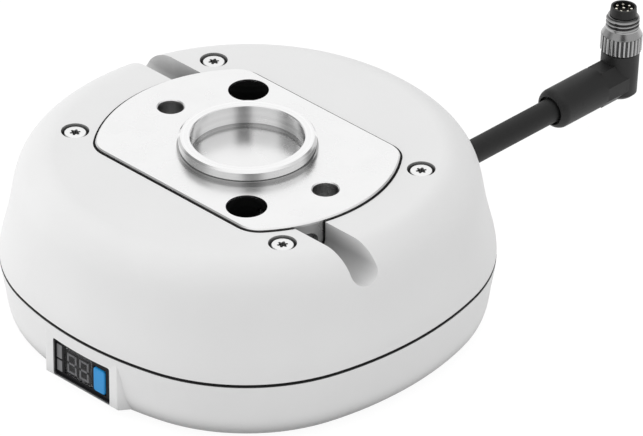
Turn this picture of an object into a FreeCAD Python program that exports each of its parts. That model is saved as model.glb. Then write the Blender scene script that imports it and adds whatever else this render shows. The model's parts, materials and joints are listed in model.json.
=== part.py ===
import FreeCAD, Part
import math
import operator
import os
import Sketcher
from FreeCAD import Placement, Rotation, Vector

# Electric vacuum unit for a robot flange. Millimetres, +Z out of the flange face towards the robot,
# the origin at the centre of the flange face, the display on the -Y side and the cable on the +Y side.

SIZES = {
    # Moulded housing: outlines of four gently curved sides and four round corners
    "side_angle": 15.0,
    "seam_half_width": 53.57,
    "seam_squareness": 11.1,
    "top_draft": 2.27,
    "top_squareness": 1.0,
    "base_draft": 2.32,
    "base_squareness": 10.3,
    "shoulder_radius": 7.5,
    "base_edge_radius": 5.3,
    "top_drop": 0.6,
    "seam_drop": 27.4,
    "housing_depth": 44.0,
    "wall": 2.6,
    "seam_gap": 0.85,
    "gasket_recess": 0.3,
    # Flange plate and its opening in the cover
    "plate_half_width": 24.2,
    "plate_end_radius": 34.7,
    "plate_corner_radius": 6.5,
    "plate_thickness": 10.0,
    "plate_edge_chamfer": 0.3,
    "plate_gap": 0.55,
    "surround_wall": 2.0,
    "surround_depth": 9.0,
    "seal_rise": 0.2,
    # Robot interface: pitch circle of the holes, pin bushes, dowel holes, centring ring
    "pitch_radius": 25.0,
    "pin_bore_radius": 4.7,
    "bush_radius": 5.5,
    "bush_edge": 1.0223,
    "bush_lip": 0.5,
    "dowel_radius": 3.0,
    "dowel_depth": 8.0,
    "dowel_chamfer": 0.25,
    "ring_radius": 15.75,
    "ring_bore_radius": 12.95,
    "ring_height": 3.2,
    "ring_chamfer": 0.7,
    "ring_bore_chamfer": 0.25,
    "ring_neck_radius": 14.6,
    "ring_neck_depth": 2.3,
    "ring_dish": 0.1,
    "ring_relief": 0.15,
    # Lock screws and the channels that lead to them
    "lock_offset": 5.18,
    "lock_level": 5.0,
    "lock_radius": 2.0,
    "lock_length": 10.0,
    "lock_clear": 0.4,
    "lock_run_out": 1.2,
    "lock_point": 1.0,
    "lock_socket_radius": 1.15,
    "lock_socket_depth": 2.0,
    "channel_radius": 3.4,
    "channel_wall": 1.5,
    # Screws that hold the two shells together
    "screw_x": 33.5,
    "screw_aside": 2.2,
    "screw_head_radius": 2.55,
    "screw_head_height": 1.9,
    "screw_head_chamfer": 0.12,
    "screw_head_sink": 0.4,
    "screw_radius": 1.5,
    "screw_length": 12.0,
    "screw_seat_radius": 3.25,
    "screw_boss_radius": 4.5,
    "boss_clear": 0.3,
    "tower_radius": 4.2,
    "star_core_radius": 0.85,
    "star_lobe_radius": 0.33,
    "star_lobe_pitch": 0.95,
    "star_depth": 1.0,
    # Display pod and window
    "pod_half_width": 11.6,
    "pod_back_half_width": 17.9,
    "pod_proud": 0.285,
    "pod_depth": 8.65,
    "pod_bottom": 41.3,
    "pod_edge_radius": 0.35,
    "window_half_width": 9.15,
    "window_top": 31.3,
    "window_bottom": 41.0,
    "window_corner_radius": 0.55,
    "display_recess": 0.75,
    "bezel_depth": 4.5,
    "bezel_fit": 0.1,
    "bezel_rim": 0.3,
    "bezel_sink": 0.4,
    "lens_left": -6.15,
    "lens_right": 2.55,
    "lens_top": 32.9,
    "lens_bottom": 39.75,
    "lens_thickness": 0.4,
    "lens_corner_radius": 0.5,
    "insert_fit": 0.12,
    "lens_space": 0.2,
    "segment_width": 0.5,
    "segment_height": 0.12,
    "segment_gap": 0.12,
    "digit_width": 3.0,
    "digit_height": 5.1,
    "digit_pitch": 3.92,
    "digit_centre_x": -2.29,
    "digit_centre_drop": 36.85,
    "led_left": -8.75,
    "led_right": -7.1,
    "led_top": 33.0,
    "led_split_upper": 36.6,
    "led_split_lower": 37.1,
    "led_bottom": 40.0,
    "button_left": 3.4,
    "button_right": 7.15,
    "button_top": 33.4,
    "button_bottom": 39.75,
    "button_proud": 0.35,
    "button_length": 3.85,
    "button_corner_radius": 0.8,
    "button_edge_radius": 0.4,
    "switch_width": 2.6,
    "switch_height": 0.5,
    "board_thickness": 1.6,
    "display_board_half_width": 10.4,
    "display_board_top": 29.6,
    "display_board_bottom": 39.4,
    # Load path from the flange plate to the base plate
    "pillar_radius": 3.5,
    "pillar_edge": 0.7,
    "pillar_head_edge": 0.22,
    "pillar_near_x": 6.0,
    "stud_radius": 2.0,
    "stud_length": 5.0,
    "thread_fit": 0.05,
    "base_opening_radius": 32.5,
    "base_opening_gap": 0.2,
    "base_rim_width": 2.9,
    "base_rim_thickness": 2.8,
    "base_gasket_thickness": 0.6,
    "base_screw_head_radius": 4.0,
    "base_screw_head_depth": 2.0,
    "base_screw_length": 14.0,
    "tool_pitch_radius": 25.0,
    "tool_hole_radius": 2.1,
    "tool_hole_depth": 5.0,
    # Suction port
    "port_insert_radius": 9.95,
    "port_bore_radius": 5.9,
    "port_bore_depth": 3.9,
    "port_duct_radius": 3.0,
    "port_filter_radius": 5.0,
    "port_filter_thickness": 1.2,
    "port_seal_ring_radius": 7.4,
    "port_seal_radius": 0.6,
    "exhaust_x": -22.0,
    "exhaust_y": 11.0,
    "exhaust_radius": 3.0,
    # Manifold, sensor and vent valve
    "manifold_half_length": 11.5,
    "manifold_half_width": 11.0,
    "manifold_height": 12.0,
    "duct_radius": 1.5,
    "duct_level": 29.0,
    "sensor_half_width": 4.0,
    "sensor_height": 4.0,
    "valve_length": 6.0,
    "valve_half_width": 6.0,
    "coil_radius": 5.5,
    "coil_length": 13.5,
    # Diaphragm pump and its motor
    "pump_half_width": 10.0,
    "pump_top": 20.0,
    "head_length": 8.5,
    "diaphragm_thickness": 1.0,
    "head_dish_radius": 6.8,
    "head_dish_depth": 1.0,
    "block_length": 23.0,
    "crank_x": 33.0,
    "crank_chamber_radius": 7.0,
    "crank_chamber_depth": 15.0,
    "rod_passage_radius": 6.4,
    "crank_throw": 0.9,
    "eccentric_radius": 3.2,
    "rod_eye_gap": 0.25,
    "rod_eye_wall": 1.3,
    "rod_thickness": 4.0,
    "rod_plate_radius": 5.4,
    "rod_plate_thickness": 1.2,
    "shaft_radius": 1.5,
    "shaft_fit": 0.05,
    "shaft_depth": 13.0,
    "stator_flange_radius": 9.0,
    "stator_flange_thickness": 1.2,
    "stator_hub_radius": 3.2,
    "stator_radius": 7.6,
    "stator_height": 4.6,
    "bell_radius": 10.4,
    "bell_wall": 2.0,
    "bell_top_thickness": 1.2,
    "air_gap": 0.8,
    # Electronics
    "main_board_y": 27.0,
    "main_board_half_width": 27.0,
    "main_board_top": 13.0,
    "connector_half_width": 5.0,
    "connector_depth": 6.4,
    "connector_height": 6.8,
    # Cable and its gland
    "cable_radius": 2.95,
    "cable_level": 33.55,
    "cable_fit": 0.05,
    "gland_radius": 4.6,
    "gland_inside": 6.249,
    "gland_proud": 1.451,
    "gland_collar_radius": 5.8,
    "gland_collar_length": 1.8,
    # Angled plug: its boot along the cable, its elbow, and a column that leans a little away from the housing
    "cable_free": 45.4,
    "boot_length": 15.4,
    "boot_radius": 4.94,
    "boot_nose_radius": 2.2,
    "boot_mouth_radius": 3.6,
    "boot_mouth_depth": 1.5,
    "cable_grip": 4.0,
    "plug_lean": 4.0,
    "plug_reach": 23.8,
    "elbow_half_width": 4.5,
    "elbow_crease": 1.2,
    "elbow_top": 4.6,
    "elbow_top_half_width": 2.2,
    "elbow_side_drop": 2.2,
    "elbow_bottom_half_width": 2.4,
    "column_radius": 4.6,
    "column_drop": 4.75,
    "column_chamfer": 0.8,
    "column_rise": 6.7,
    # Plug insert with its contacts, and the collar around it
    "insert_radius": 2.95,
    "insert_head_radius": 3.27,
    "insert_tip_radius": 3.05,
    "insert_rise": 18.3,
    "insert_recess_radius": 2.6,
    "insert_recess_depth": 1.5,
    "pin_radius": 0.28,
    "pin_ring_radius": 1.85,
    "pin_first_angle": 36.0,
    "pin_length": 5.0,
    "pin_sink": 0.4,
    "collar_fit": 0.06,
    "collar_play": 0.2,
    "grip_radius": 4.95,
    "grip_foot_radius": 4.75,
    "grip_foot": 0.3,
    "grip_height": 4.45,
    "grip_groove_radius": 0.3,
    "cone_height": 1.7,
    "thread_radius": 4.0,
    "thread_depth": 0.45,
    "thread_pitch": 1.0,
}

GRIP_GROOVES = 28
THREAD_TURNS = 3
RING_PINS = 7
STAR_LOBES = 6
ROUNDING_ANGLES = (0, 25, 48, 70, 90)
MARGIN = 1.0
FAR = 60.0

doc = FreeCAD.newDocument("vacuum_unit")
sheet = doc.addObject("Spreadsheet::Sheet", "Sizes")
for row, (name, number) in enumerate(SIZES.items(), start=1):
    sheet.set(f"A{row}", name)
    sheet.set(f"B{row}", str(number))
    sheet.setAlias(f"B{row}", name)
doc.recompute()


# Sizes as numbers that remember the sheet formula they come from

class Amount:
    """A number together with the formula, in the sheet's names, that gives it."""

    def __init__(self, number, formula):
        self.number = number
        self.formula = formula

    def __add__(self, other):
        return combine(self, "+", other)

    def __radd__(self, other):
        return combine(other, "+", self)

    def __sub__(self, other):
        return combine(self, "-", other)

    def __rsub__(self, other):
        return combine(other, "-", self)

    def __mul__(self, other):
        return combine(self, "*", other)

    def __rmul__(self, other):
        return combine(other, "*", self)

    def __truediv__(self, other):
        return combine(self, "/", other)

    def __neg__(self):
        return combine(0, "-", self)


OPERATIONS = {"+": operator.add, "-": operator.sub, "*": operator.mul, "/": operator.truediv}


def amount(value):
    if isinstance(value, Amount):
        return value
    return Amount(float(value), f"({float(value)!r})")


def combine(left, sign, right):
    left, right = amount(left), amount(right)
    number = OPERATIONS[sign](left.number, right.number)
    return Amount(number, f"({left.formula} {sign} {right.formula})")


def sine(angle):
    angle = amount(angle)
    return Amount(math.sin(math.radians(angle.number)), f"sin({angle.formula})")


def cosine(angle):
    angle = amount(angle)
    return Amount(math.cos(math.radians(angle.number)), f"cos({angle.formula})")


def root(value):
    return Amount(math.sqrt(value.number), f"sqrt({value.formula})")


class Sheet:
    """The sheet's sizes, each one by its name."""

    def __getattr__(self, name):
        return Amount(SIZES[name], f"Sizes.{name}")


s = Sheet()


def bind(thing, path, value):
    """Ties a property of a document object to a formula on the sheet."""
    thing.setExpression(path, amount(value).formula)


# Solids made from primitives and booleans

AXES = {"X": Vector(1, 0, 0), "Y": Vector(0, 1, 0), "Z": Vector(0, 0, 1)}


def place(thing, x, y, z, axis="Z"):
    thing.Placement = Placement(Vector(), Rotation(AXES["Z"], AXES[axis]))
    for letter, value in zip("xyz", (x, y, z)):
        bind(thing, f"Placement.Base.{letter}", value)
    return thing


def along(axis, start, across):
    """The point at start along an axis, with the other two coordinates in X, Y, Z order."""
    first, second = across
    return {"X": (start, first, second), "Y": (first, start, second), "Z": (first, second, start)}[axis]


def box(name, x, y, z):
    thing = doc.addObject("Part::Box", name)
    for edge, (low, high) in zip(("Length", "Width", "Height"), (x, y, z)):
        bind(thing, edge, high - low)
    return place(thing, x[0], y[0], z[0])


def rod(name, radius, axis, span, across=(0, 0)):
    thing = doc.addObject("Part::Cylinder", name)
    bind(thing, "Radius", radius)
    bind(thing, "Height", span[1] - span[0])
    return place(thing, *along(axis, span[0], across), axis)


def cone(name, radii, axis, span, across=(0, 0)):
    thing = doc.addObject("Part::Cone", name)
    bind(thing, "Radius1", radii[0])
    bind(thing, "Radius2", radii[1])
    bind(thing, "Height", span[1] - span[0])
    return place(thing, *along(axis, span[0], across), axis)


def fuse(name, *things):
    thing = doc.addObject("Part::MultiFuse", name)
    thing.Shapes = list(things)
    return thing


def cut(name, base, *tools):
    thing = doc.addObject("Part::Cut", name)
    thing.Base = base
    thing.Tool = tools[0] if len(tools) == 1 else fuse(name + "Tools", *tools)
    return thing


def group(name, *things):
    """Separate solids of one kind, kept together in one node."""
    thing = doc.addObject("Part::Compound", name)
    thing.Links = list(things)
    return thing


def tube(name, outer, inner, axis, span, across=(0, 0)):
    return cut(name, rod(name + "Outside", outer, axis, span, across),
               rod(name + "Inside", inner, axis, (span[0] - MARGIN, span[1] + MARGIN), across))


# Sketches and features of part design bodies

def new_body(name):
    return doc.addObject("PartDesign::Body", name)


def new_sketch(body, name, plane="XY_Plane", offset=0):
    sketch = body.newObject("Sketcher::SketchObject", name)
    support = next(item for item in body.Origin.OriginFeatures if item.Role == plane)
    sketch.AttachmentSupport = [(support, "")]
    sketch.MapMode = "FlatFace"
    bind(sketch, "AttachmentOffset.Base.z", offset)
    return sketch


def fix(sketch, kind, geometry, point, value):
    """Holds one coordinate of a sketch point at a size, measured from the sketch's origin."""
    value = amount(value)
    if value.number == 0:
        line = -2 if kind == "DistanceX" else -1
        sketch.addConstraint(Sketcher.Constraint("PointOnObject", geometry, point, line))
        return
    forward = value.number > 0
    ends = (-1, 1, geometry, point) if forward else (geometry, point, -1, 1)
    index = sketch.addConstraint(Sketcher.Constraint(kind, *ends, abs(value.number)))
    bind(sketch, f"Constraints[{index}]", value if forward else -value)


def set_radius(sketch, arcs, radius):
    index = sketch.addConstraint(Sketcher.Constraint("Radius", arcs[0], amount(radius).number))
    bind(sketch, f"Constraints[{index}]", radius)
    for arc in arcs[1:]:
        sketch.addConstraint(Sketcher.Constraint("Equal", arcs[0], arc))


def join_smoothly(sketch, chain):
    for k, piece in enumerate(chain):
        sketch.addConstraint(Sketcher.Constraint("Tangent", chain[k - 1], 2, piece, 1))


def add_arc(sketch, x, y, radius, start, end):
    """An arc by centre, radius and its two angles in degrees, as a first guess for the constraints."""
    circle = Part.Circle(Vector(x, y, 0), AXES["Z"], radius)
    return sketch.addGeometry(Part.ArcOfCircle(circle, math.radians(start), math.radians(end)))


def add_line(sketch, start, end):
    return sketch.addGeometry(Part.LineSegment(Vector(*start, 0), Vector(*end, 0)))


QUARTERS = ((1, 1), (-1, 1), (-1, -1), (1, -1))


def rounded_square(body, name, level, half_width, squareness):
    """Four side arcs and four corner arcs, tangent all round, whose corner centres lie off the axes."""
    reach = squareness * (cosine(s.side_angle) / sine(s.side_angle) - 1)
    side_radius = half_width + reach
    corner_radius = side_radius - squareness / sine(s.side_angle)
    sketch = new_sketch(body, name, "XY_Plane", level)
    turn = SIZES["side_angle"]
    sides, corners, chain = [], [], []
    for k, (x, y) in enumerate(QUARTERS):
        angle = 90 * k
        centre_x = -reach.number * math.cos(math.radians(angle))
        centre_y = -reach.number * math.sin(math.radians(angle))
        sides.append(add_arc(sketch, centre_x, centre_y, side_radius.number, angle - turn, angle + turn))
        off = squareness.number
        corners.append(add_arc(sketch, x * off, y * off, corner_radius.number, angle + turn, angle + 90 - turn))
        chain += [sides[-1], corners[-1]]
    join_smoothly(sketch, chain)
    set_radius(sketch, sides, side_radius)
    set_radius(sketch, corners, corner_radius)
    for arc, (x, y) in zip(corners, QUARTERS):
        fix(sketch, "DistanceX", arc, 3, x * squareness)
        fix(sketch, "DistanceY", arc, 3, y * squareness)
    return sketch


def plate_outline(body, name, level, grow):
    """Two straight sides and two end arcs about the centre, with rounded corners between them."""
    half, end, corner = s.plate_half_width + grow, s.plate_end_radius + grow, s.plate_corner_radius + grow
    reach_y = half.number - corner.number
    reach_x = math.sqrt((end.number - corner.number) ** 2 - reach_y ** 2)
    turn = math.degrees(math.atan2(reach_y, reach_x))
    sketch = new_sketch(body, name, "XY_Plane", level)
    right = add_arc(sketch, 0, 0, end.number, -turn, turn)
    corner_a = add_arc(sketch, reach_x, reach_y, corner.number, turn, 90)
    back = add_line(sketch, (reach_x, half.number), (-reach_x, half.number))
    corner_b = add_arc(sketch, -reach_x, reach_y, corner.number, 90, 180 - turn)
    left = add_arc(sketch, 0, 0, end.number, 180 - turn, 180 + turn)
    corner_c = add_arc(sketch, -reach_x, -reach_y, corner.number, 180 + turn, 270)
    front = add_line(sketch, (-reach_x, -half.number), (reach_x, -half.number))
    corner_d = add_arc(sketch, reach_x, -reach_y, corner.number, 270, 360 - turn)
    join_smoothly(sketch, [right, corner_a, back, corner_b, left, corner_c, front, corner_d])
    for arc in (right, left):
        sketch.addConstraint(Sketcher.Constraint("Coincident", arc, 3, -1, 1))
    set_radius(sketch, [right, left], end)
    set_radius(sketch, [corner_a, corner_b, corner_c, corner_d], corner)
    for line, side in ((back, half), (front, -half)):
        sketch.addConstraint(Sketcher.Constraint("Horizontal", line))
        fix(sketch, "DistanceY", line, 1, side)
    return sketch


def rounded_rectangle(body, name, plane, offset, x, y, radius):
    """A rectangle from low to high along both sketch axes, with four equal round corners."""
    (left, right), (low, high) = x, y
    radius = amount(radius)
    sketch = new_sketch(body, name, plane, offset)
    centres = ((right - radius, high - radius), (left + radius, high - radius),
               (left + radius, low + radius), (right - radius, low + radius))
    places = [(amount(a).number, amount(b).number) for a, b in centres]
    arcs, chain = [], []
    for k, (centre_x, centre_y) in enumerate(places):
        start = 90 * k
        arcs.append(add_arc(sketch, centre_x, centre_y, radius.number, start, start + 90))
        out_x = -math.sin(math.radians(start)) + math.cos(math.radians(start + 90))
        out_y = math.sin(math.radians(start + 90))
        to_x, to_y = places[(k + 1) % 4]
        step = (round(out_x / 2) * radius.number, round(out_y) * radius.number)
        line = add_line(sketch, (centre_x + step[0], centre_y + step[1]), (to_x + step[0], to_y + step[1]))
        chain += [arcs[-1], line]
    join_smoothly(sketch, chain)
    set_radius(sketch, arcs, radius)
    for arc, (centre_x, centre_y) in zip(arcs, centres):
        fix(sketch, "DistanceX", arc, 3, centre_x)
        fix(sketch, "DistanceY", arc, 3, centre_y)
    return sketch


def polygon(body, name, plane, offset, points):
    """A closed line through the given corners, each held at its sizes."""
    sketch = new_sketch(body, name, plane, offset)
    corners = [(amount(x), amount(y)) for x, y in points]
    numbers = [(x.number, y.number) for x, y in corners]
    lines = [add_line(sketch, here, there) for here, there in zip(numbers, numbers[1:] + numbers[:1])]
    for k, line in enumerate(lines):
        sketch.addConstraint(Sketcher.Constraint("Coincident", lines[k - 1], 2, line, 1))
    for line, (x, y) in zip(lines, corners):
        fix(sketch, "DistanceX", line, 1, x)
        fix(sketch, "DistanceY", line, 1, y)
    return sketch


def pad(body, name, sketch, length, back=False):
    feature = body.newObject("PartDesign::Pad", name)
    feature.Profile = (sketch, [""])
    feature.Reversed = back
    bind(feature, "Length", length)
    return feature


def loft(body, name, sections, ruled=False):
    feature = body.newObject("PartDesign::AdditiveLoft", name)
    feature.Profile = (sections[0], [""])
    feature.Sections = [(section, [""]) for section in sections[1:]]
    feature.Ruled = ruled
    return feature


def turned(name, points):
    """A body of revolution about Z, from its half section in radius and height."""
    body = new_body(name)
    sketch = polygon(body, name + "Section", "XZ_Plane", 0, points)
    feature = body.newObject("PartDesign::Revolution", name + "Turned")
    feature.Profile = (sketch, [""])
    feature.ReferenceAxis = (sketch, ["V_Axis"])
    feature.Angle = 360
    return body


def edges_where(feature, test):
    """Names of a feature's edges whose bounding box passes a test, once the document is up to date."""
    doc.recompute()
    return [f"Edge{k}" for k, edge in enumerate(feature.Shape.Edges, start=1) if test(edge.BoundBox)]


def fillet(body, name, feature, edges, radius):
    rounding = body.newObject("PartDesign::Fillet", name)
    rounding.Base = (feature, edges)
    bind(rounding, "Radius", radius)
    return rounding


def chamfer(body, name, feature, edges, size):
    slope = body.newObject("PartDesign::Chamfer", name)
    slope.Base = (feature, edges)
    bind(slope, "Size", size)
    return slope


def at_height(level):
    return lambda bounds: abs(bounds.ZMin - level) < 1e-4 and abs(bounds.ZMax - level) < 1e-4


nodes = {}


def node(name, thing):
    thing.Label = name
    nodes[name] = thing
    return thing


# Levels that many pieces share
top = -s.top_drop
seam = -s.seam_drop
upper_rim = seam + s.seam_gap / 2
lower_rim = seam - s.seam_gap / 2
bottom = -s.housing_depth
floor_top = bottom + s.wall
plate_bottom = -s.plate_thickness
base_rim_bottom = floor_top + s.base_gasket_thickness
base_top = base_rim_bottom + s.base_rim_thickness
lock_z = -s.lock_level
top_half_width = s.seam_half_width - s.top_draft
base_half_width = s.seam_half_width - s.base_draft
pin_y = s.plate_half_width - s.bush_radius - s.bush_edge
pin_x = root(s.pitch_radius * s.pitch_radius - pin_y * pin_y)
lock_y = pin_y - s.lock_offset
screw_y = s.plate_half_width - s.screw_aside
ring_seat_radius = s.ring_radius + s.thread_fit
base_rim_radius = s.base_opening_radius + s.base_rim_width


def tray_wall(level):
    """How far the tray's outside stands from the middle at a level between its rim and its foot."""
    return s.seam_half_width - s.base_draft * (level - lower_rim) / (bottom - lower_rim)


pod_face = tray_wall(-(s.window_top + s.window_bottom) / 2) + s.pod_proud
pod_back = pod_face - s.pod_depth
gland_start = tray_wall(-s.cable_level) - s.gland_inside
gland_end = tray_wall(-s.cable_level) + s.gland_proud
boot_start = gland_end + s.cable_free
elbow_start = boot_start + s.boot_length
plug_axis_y = boot_start + s.plug_reach


# Moulded forms of the two shells

def shell_form(name, rim, end, end_half_width, end_squareness, radius, upward):
    """The outside of a shell: a drafted wall from the seam that rounds over into a flat end."""
    body = new_body(name)
    sign = 1 if upward else -1

    def section(label, level, inset):
        share = (level - rim) / (end - rim)
        half_width = s.seam_half_width + (end_half_width - s.seam_half_width) * share - inset
        squareness = s.seam_squareness + (end_squareness - s.seam_squareness) * share
        return rounded_square(body, f"{name}{label}", level, half_width, squareness)

    start_of_rounding = end - sign * radius
    sections = [section("Rim", rim, 0), section("Wall", (rim + start_of_rounding) / 2, 0)]
    for angle in ROUNDING_ANGLES:
        level = end - sign * radius * (1 - sine(angle))
        sections.append(section(f"Round{angle}", level, radius * (1 - cosine(angle))))
    loft(body, name + "Loft", sections)
    return body


def shell_hollow(name, rim, end, end_half_width, end_squareness, radius, upward):
    """The room inside a shell, one wall thickness in, with a sloping edge behind the outer rounding."""
    body = new_body(name)
    sign = 1 if upward else -1
    bend = end - sign * radius
    roof = end - sign * s.wall
    beyond = rim - sign * MARGIN
    share = (bend - rim) / (end - rim)
    bend_half_width = s.seam_half_width + (end_half_width - s.seam_half_width) * share
    bend_squareness = s.seam_squareness + (end_squareness - s.seam_squareness) * share
    loft(body, name + "Loft", [
        rounded_square(body, name + "Rim", beyond, s.seam_half_width - s.wall, s.seam_squareness),
        rounded_square(body, name + "Bend", bend, bend_half_width - s.wall, bend_squareness),
        rounded_square(body, name + "Roof", roof, end_half_width - s.wall - radius / 2, end_squareness),
    ], ruled=True)
    return body


def plate_block(name, grow, low, high):
    body = new_body(name)
    pad(body, name + "Pad", plate_outline(body, name + "Outline", low, grow), high - low)
    return body


def screw_places():
    return [(x * s.screw_x, y * screw_y) for x, y in QUARTERS]


def lock_sides():
    """The two lock screws: on +X in front of the centre, and point-symmetric to it on -X."""
    return (("Right", 1), ("Left", -1))


def channel_span(sign, start, end):
    return (start, end) if sign > 0 else (-end, -start)


def key_channel(name, sign):
    """The room of a key channel: a round floor, open above, from the plate outwards."""
    y = -sign * lock_y
    reach = channel_span(sign, s.plate_half_width, amount(FAR))
    return [rod(f"{name}ChannelRound", s.channel_radius, "X", reach, (y, lock_z)),
            box(f"{name}ChannelOpen", reach, (y - s.channel_radius, y + s.channel_radius), (lock_z, amount(MARGIN)))]


# Upper housing: the cover with the plate opening, two key channels and four sunk screw seats
cover_form = shell_form("CoverForm", upper_rim, top, top_half_width, s.top_squareness,
                        s.shoulder_radius, upward=True)
cover_hollow = shell_hollow("CoverHollow", upper_rim, top, top_half_width, s.top_squareness,
                            s.shoulder_radius, upward=True)
cover_stays = [plate_block("PlateSurround", s.plate_gap + s.surround_wall, -s.surround_depth, amount(MARGIN))]
cover_cuts = [plate_block("PlateOpening", s.plate_gap, -s.surround_depth - MARGIN, amount(MARGIN))]
boss_bottom = -s.surround_depth - s.boss_clear
seat_level = top - s.screw_head_sink - s.screw_head_height
for k, (x, y) in enumerate(screw_places()):
    cover_stays.append(rod(f"CoverBoss{k}", s.screw_boss_radius, "Z", (boss_bottom, top), (x, y)))
    cover_cuts.append(rod(f"CoverSeat{k}", s.screw_seat_radius, "Z", (seat_level, top + MARGIN), (x, y)))
    cover_cuts.append(rod(f"CoverHole{k}", s.screw_radius + s.plate_gap / 2, "Z",
                          (boss_bottom - MARGIN, top), (x, y)))
trough = s.channel_radius + s.channel_wall
for side, sign in lock_sides():
    y = -sign * lock_y
    reach = channel_span(sign, s.plate_half_width, amount(FAR))
    cover_stays.append(box(f"Trough{side}", reach, (y - trough, y + trough), (lock_z - trough, amount(MARGIN))))
    cover_cuts += key_channel(f"Cover{side}", sign)
cover_room = cut("CoverRoom", cover_hollow, *cover_stays)
node("upper_housing", cut("UpperHousing", cover_form, cover_room, *cover_cuts))

# Plate seal: a soft strip in the gap round the flange plate, cut away where the key channels pass
seal_span = (-s.surround_depth, top + s.seal_rise)
node("plate_seal", cut(
    "PlateSeal", plate_block("SealOutside", s.plate_gap - s.thread_fit, *seal_span),
    plate_block("SealInside", s.thread_fit, seal_span[0] - MARGIN, seal_span[1] + MARGIN),
    *[room for side, sign in lock_sides() for room in key_channel(f"Seal{side}", sign)]))

# Lower housing: the tray with screw towers, display pod, cable outlet and round floor opening
tray_form = shell_form("TrayForm", lower_rim, bottom, base_half_width, s.base_squareness,
                       s.base_edge_radius, upward=False)
tray_hollow = shell_hollow("TrayHollow", lower_rim, bottom, base_half_width, s.base_squareness,
                           s.base_edge_radius, upward=False)
pod = new_body("Pod")
pod_outline = polygon(pod, "PodOutline", "XY_Plane", -s.pod_bottom, [
    (-s.pod_half_width, -pod_face), (s.pod_half_width, -pod_face),
    (s.pod_back_half_width, -pod_back), (-s.pod_back_half_width, -pod_back)])
pod_pad = pad(pod, "PodPad", pod_outline, s.pod_bottom + lower_rim)
pod_front = edges_where(pod_pad, lambda b: b.YMax < -pod_face.number + 1e-4 and b.ZMin < -SIZES["pod_bottom"] + 1e-4)
fillet(pod, "PodRounding", pod_pad, pod_front, s.pod_edge_radius)
window = new_body("Window")
window_x = (-s.window_half_width, s.window_half_width)
window_z = (-s.window_bottom, -s.window_top)
window_outline = rounded_rectangle(window, "WindowOutline", "XZ_Plane", pod_back, window_x, window_z,
                                   s.window_corner_radius)
pad(window, "WindowPad", window_outline, pod_face - pod_back + MARGIN)
towers, pilots = [], []
for k, (x, y) in enumerate(screw_places()):
    towers.append(rod(f"Tower{k}", s.tower_radius, "Z", (floor_top - s.wall / 2, boss_bottom), (x, y)))
    pilots.append(rod(f"Pilot{k}", s.screw_radius + s.thread_fit, "Z",
                      (seat_level - s.screw_length - MARGIN, boss_bottom + MARGIN), (x, y)))
cable_across = (0, -s.cable_level)
tray_walls = cut("TrayWalls", fuse("TrayOutside", tray_form, pod), tray_hollow)
tray = fuse("Tray", tray_walls, *towers)
node("lower_housing", cut(
    "LowerHousing", tray, window, *pilots,
    rod("CableOutlet", s.gland_radius + s.cable_fit, "Y", (gland_start, amount(FAR)), cable_across),
    rod("FloorOpening", s.base_opening_radius, "Z", (bottom - MARGIN, floor_top + MARGIN))))

# Seam gasket: a band between the two rims, set back from the outside
gasket_outer, gasket_inner = new_body("GasketOuter"), new_body("GasketInner")
pad(gasket_outer, "GasketOuterPad", rounded_square(
    gasket_outer, "GasketOuterLine", lower_rim, s.seam_half_width - s.gasket_recess, s.seam_squareness), s.seam_gap)
pad(gasket_inner, "GasketInnerPad", rounded_square(
    gasket_inner, "GasketInnerLine", lower_rim, s.seam_half_width - s.wall, s.seam_squareness), s.seam_gap)
node("seam_gasket", cut("SeamGasket", gasket_outer, gasket_inner))

# Flange plate with the ring seat, bush bores, dowel holes, lock screw threads and pillar threads
plate_form = new_body("PlateForm")
plate_pad = pad(plate_form, "PlatePad", plate_outline(plate_form, "PlateLine", plate_bottom, amount(0)),
                s.plate_thickness)
chamfer(plate_form, "PlateEdge", plate_pad, edges_where(plate_pad, at_height(0)), s.plate_edge_chamfer)
through_plate = (plate_bottom - MARGIN, amount(MARGIN))
pillar_y = s.plate_half_width - s.pillar_radius - s.pillar_edge
pillar_reach = s.base_opening_radius - s.base_screw_head_radius - s.pillar_head_edge
pillar_x = root(pillar_reach * pillar_reach - pillar_y * pillar_y)
pillar_places = [(pillar_x, pillar_y), (-s.pillar_near_x, pillar_y),
                 (-pillar_x, -pillar_y), (s.pillar_near_x, -pillar_y)]
plate_cuts = [rod("RingSeat", s.ring_neck_radius, "Z", (-s.ring_neck_depth, amount(MARGIN))),
              rod("RingRelief", ring_seat_radius, "Z", (-s.ring_relief, amount(MARGIN)))]
lock_inside = s.lock_offset - s.lock_radius
lock_tip = pin_x + root(s.pin_bore_radius * s.pin_bore_radius - lock_inside * lock_inside) + s.lock_clear
for side, sign in lock_sides():
    pin_place = (sign * pin_x, -sign * pin_y)
    plate_cuts.append(rod(f"BushLip{side}", s.pin_bore_radius, "Z", through_plate, pin_place))
    plate_cuts.append(rod(f"BushBore{side}", s.bush_radius, "Z", (plate_bottom - MARGIN, -s.bush_lip), pin_place))
    plate_cuts.append(rod(f"Dowel{side}", s.dowel_radius, "Z", (-s.dowel_depth, amount(MARGIN)),
                          (sign * s.pitch_radius, 0)))
    plate_cuts.append(cone(f"DowelRim{side}", (s.dowel_radius, s.dowel_radius + s.dowel_chamfer), "Z",
                           (-s.dowel_chamfer, amount(0)), (sign * s.pitch_radius, 0)))
    plate_cuts.append(rod(f"LockThread{side}", s.lock_radius + s.thread_fit, "X",
                          channel_span(sign, pin_x - s.lock_run_out, amount(FAR)),
                          (-sign * lock_y, lock_z)))
for k, place_xy in enumerate(pillar_places):
    plate_cuts.append(rod(f"StudHole{k}", s.stud_radius + s.thread_fit, "Z",
                          (plate_bottom - MARGIN, plate_bottom + s.stud_length + s.plate_gap), place_xy))
node("flange_plate", cut("FlangePlate", plate_form, *plate_cuts))

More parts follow.
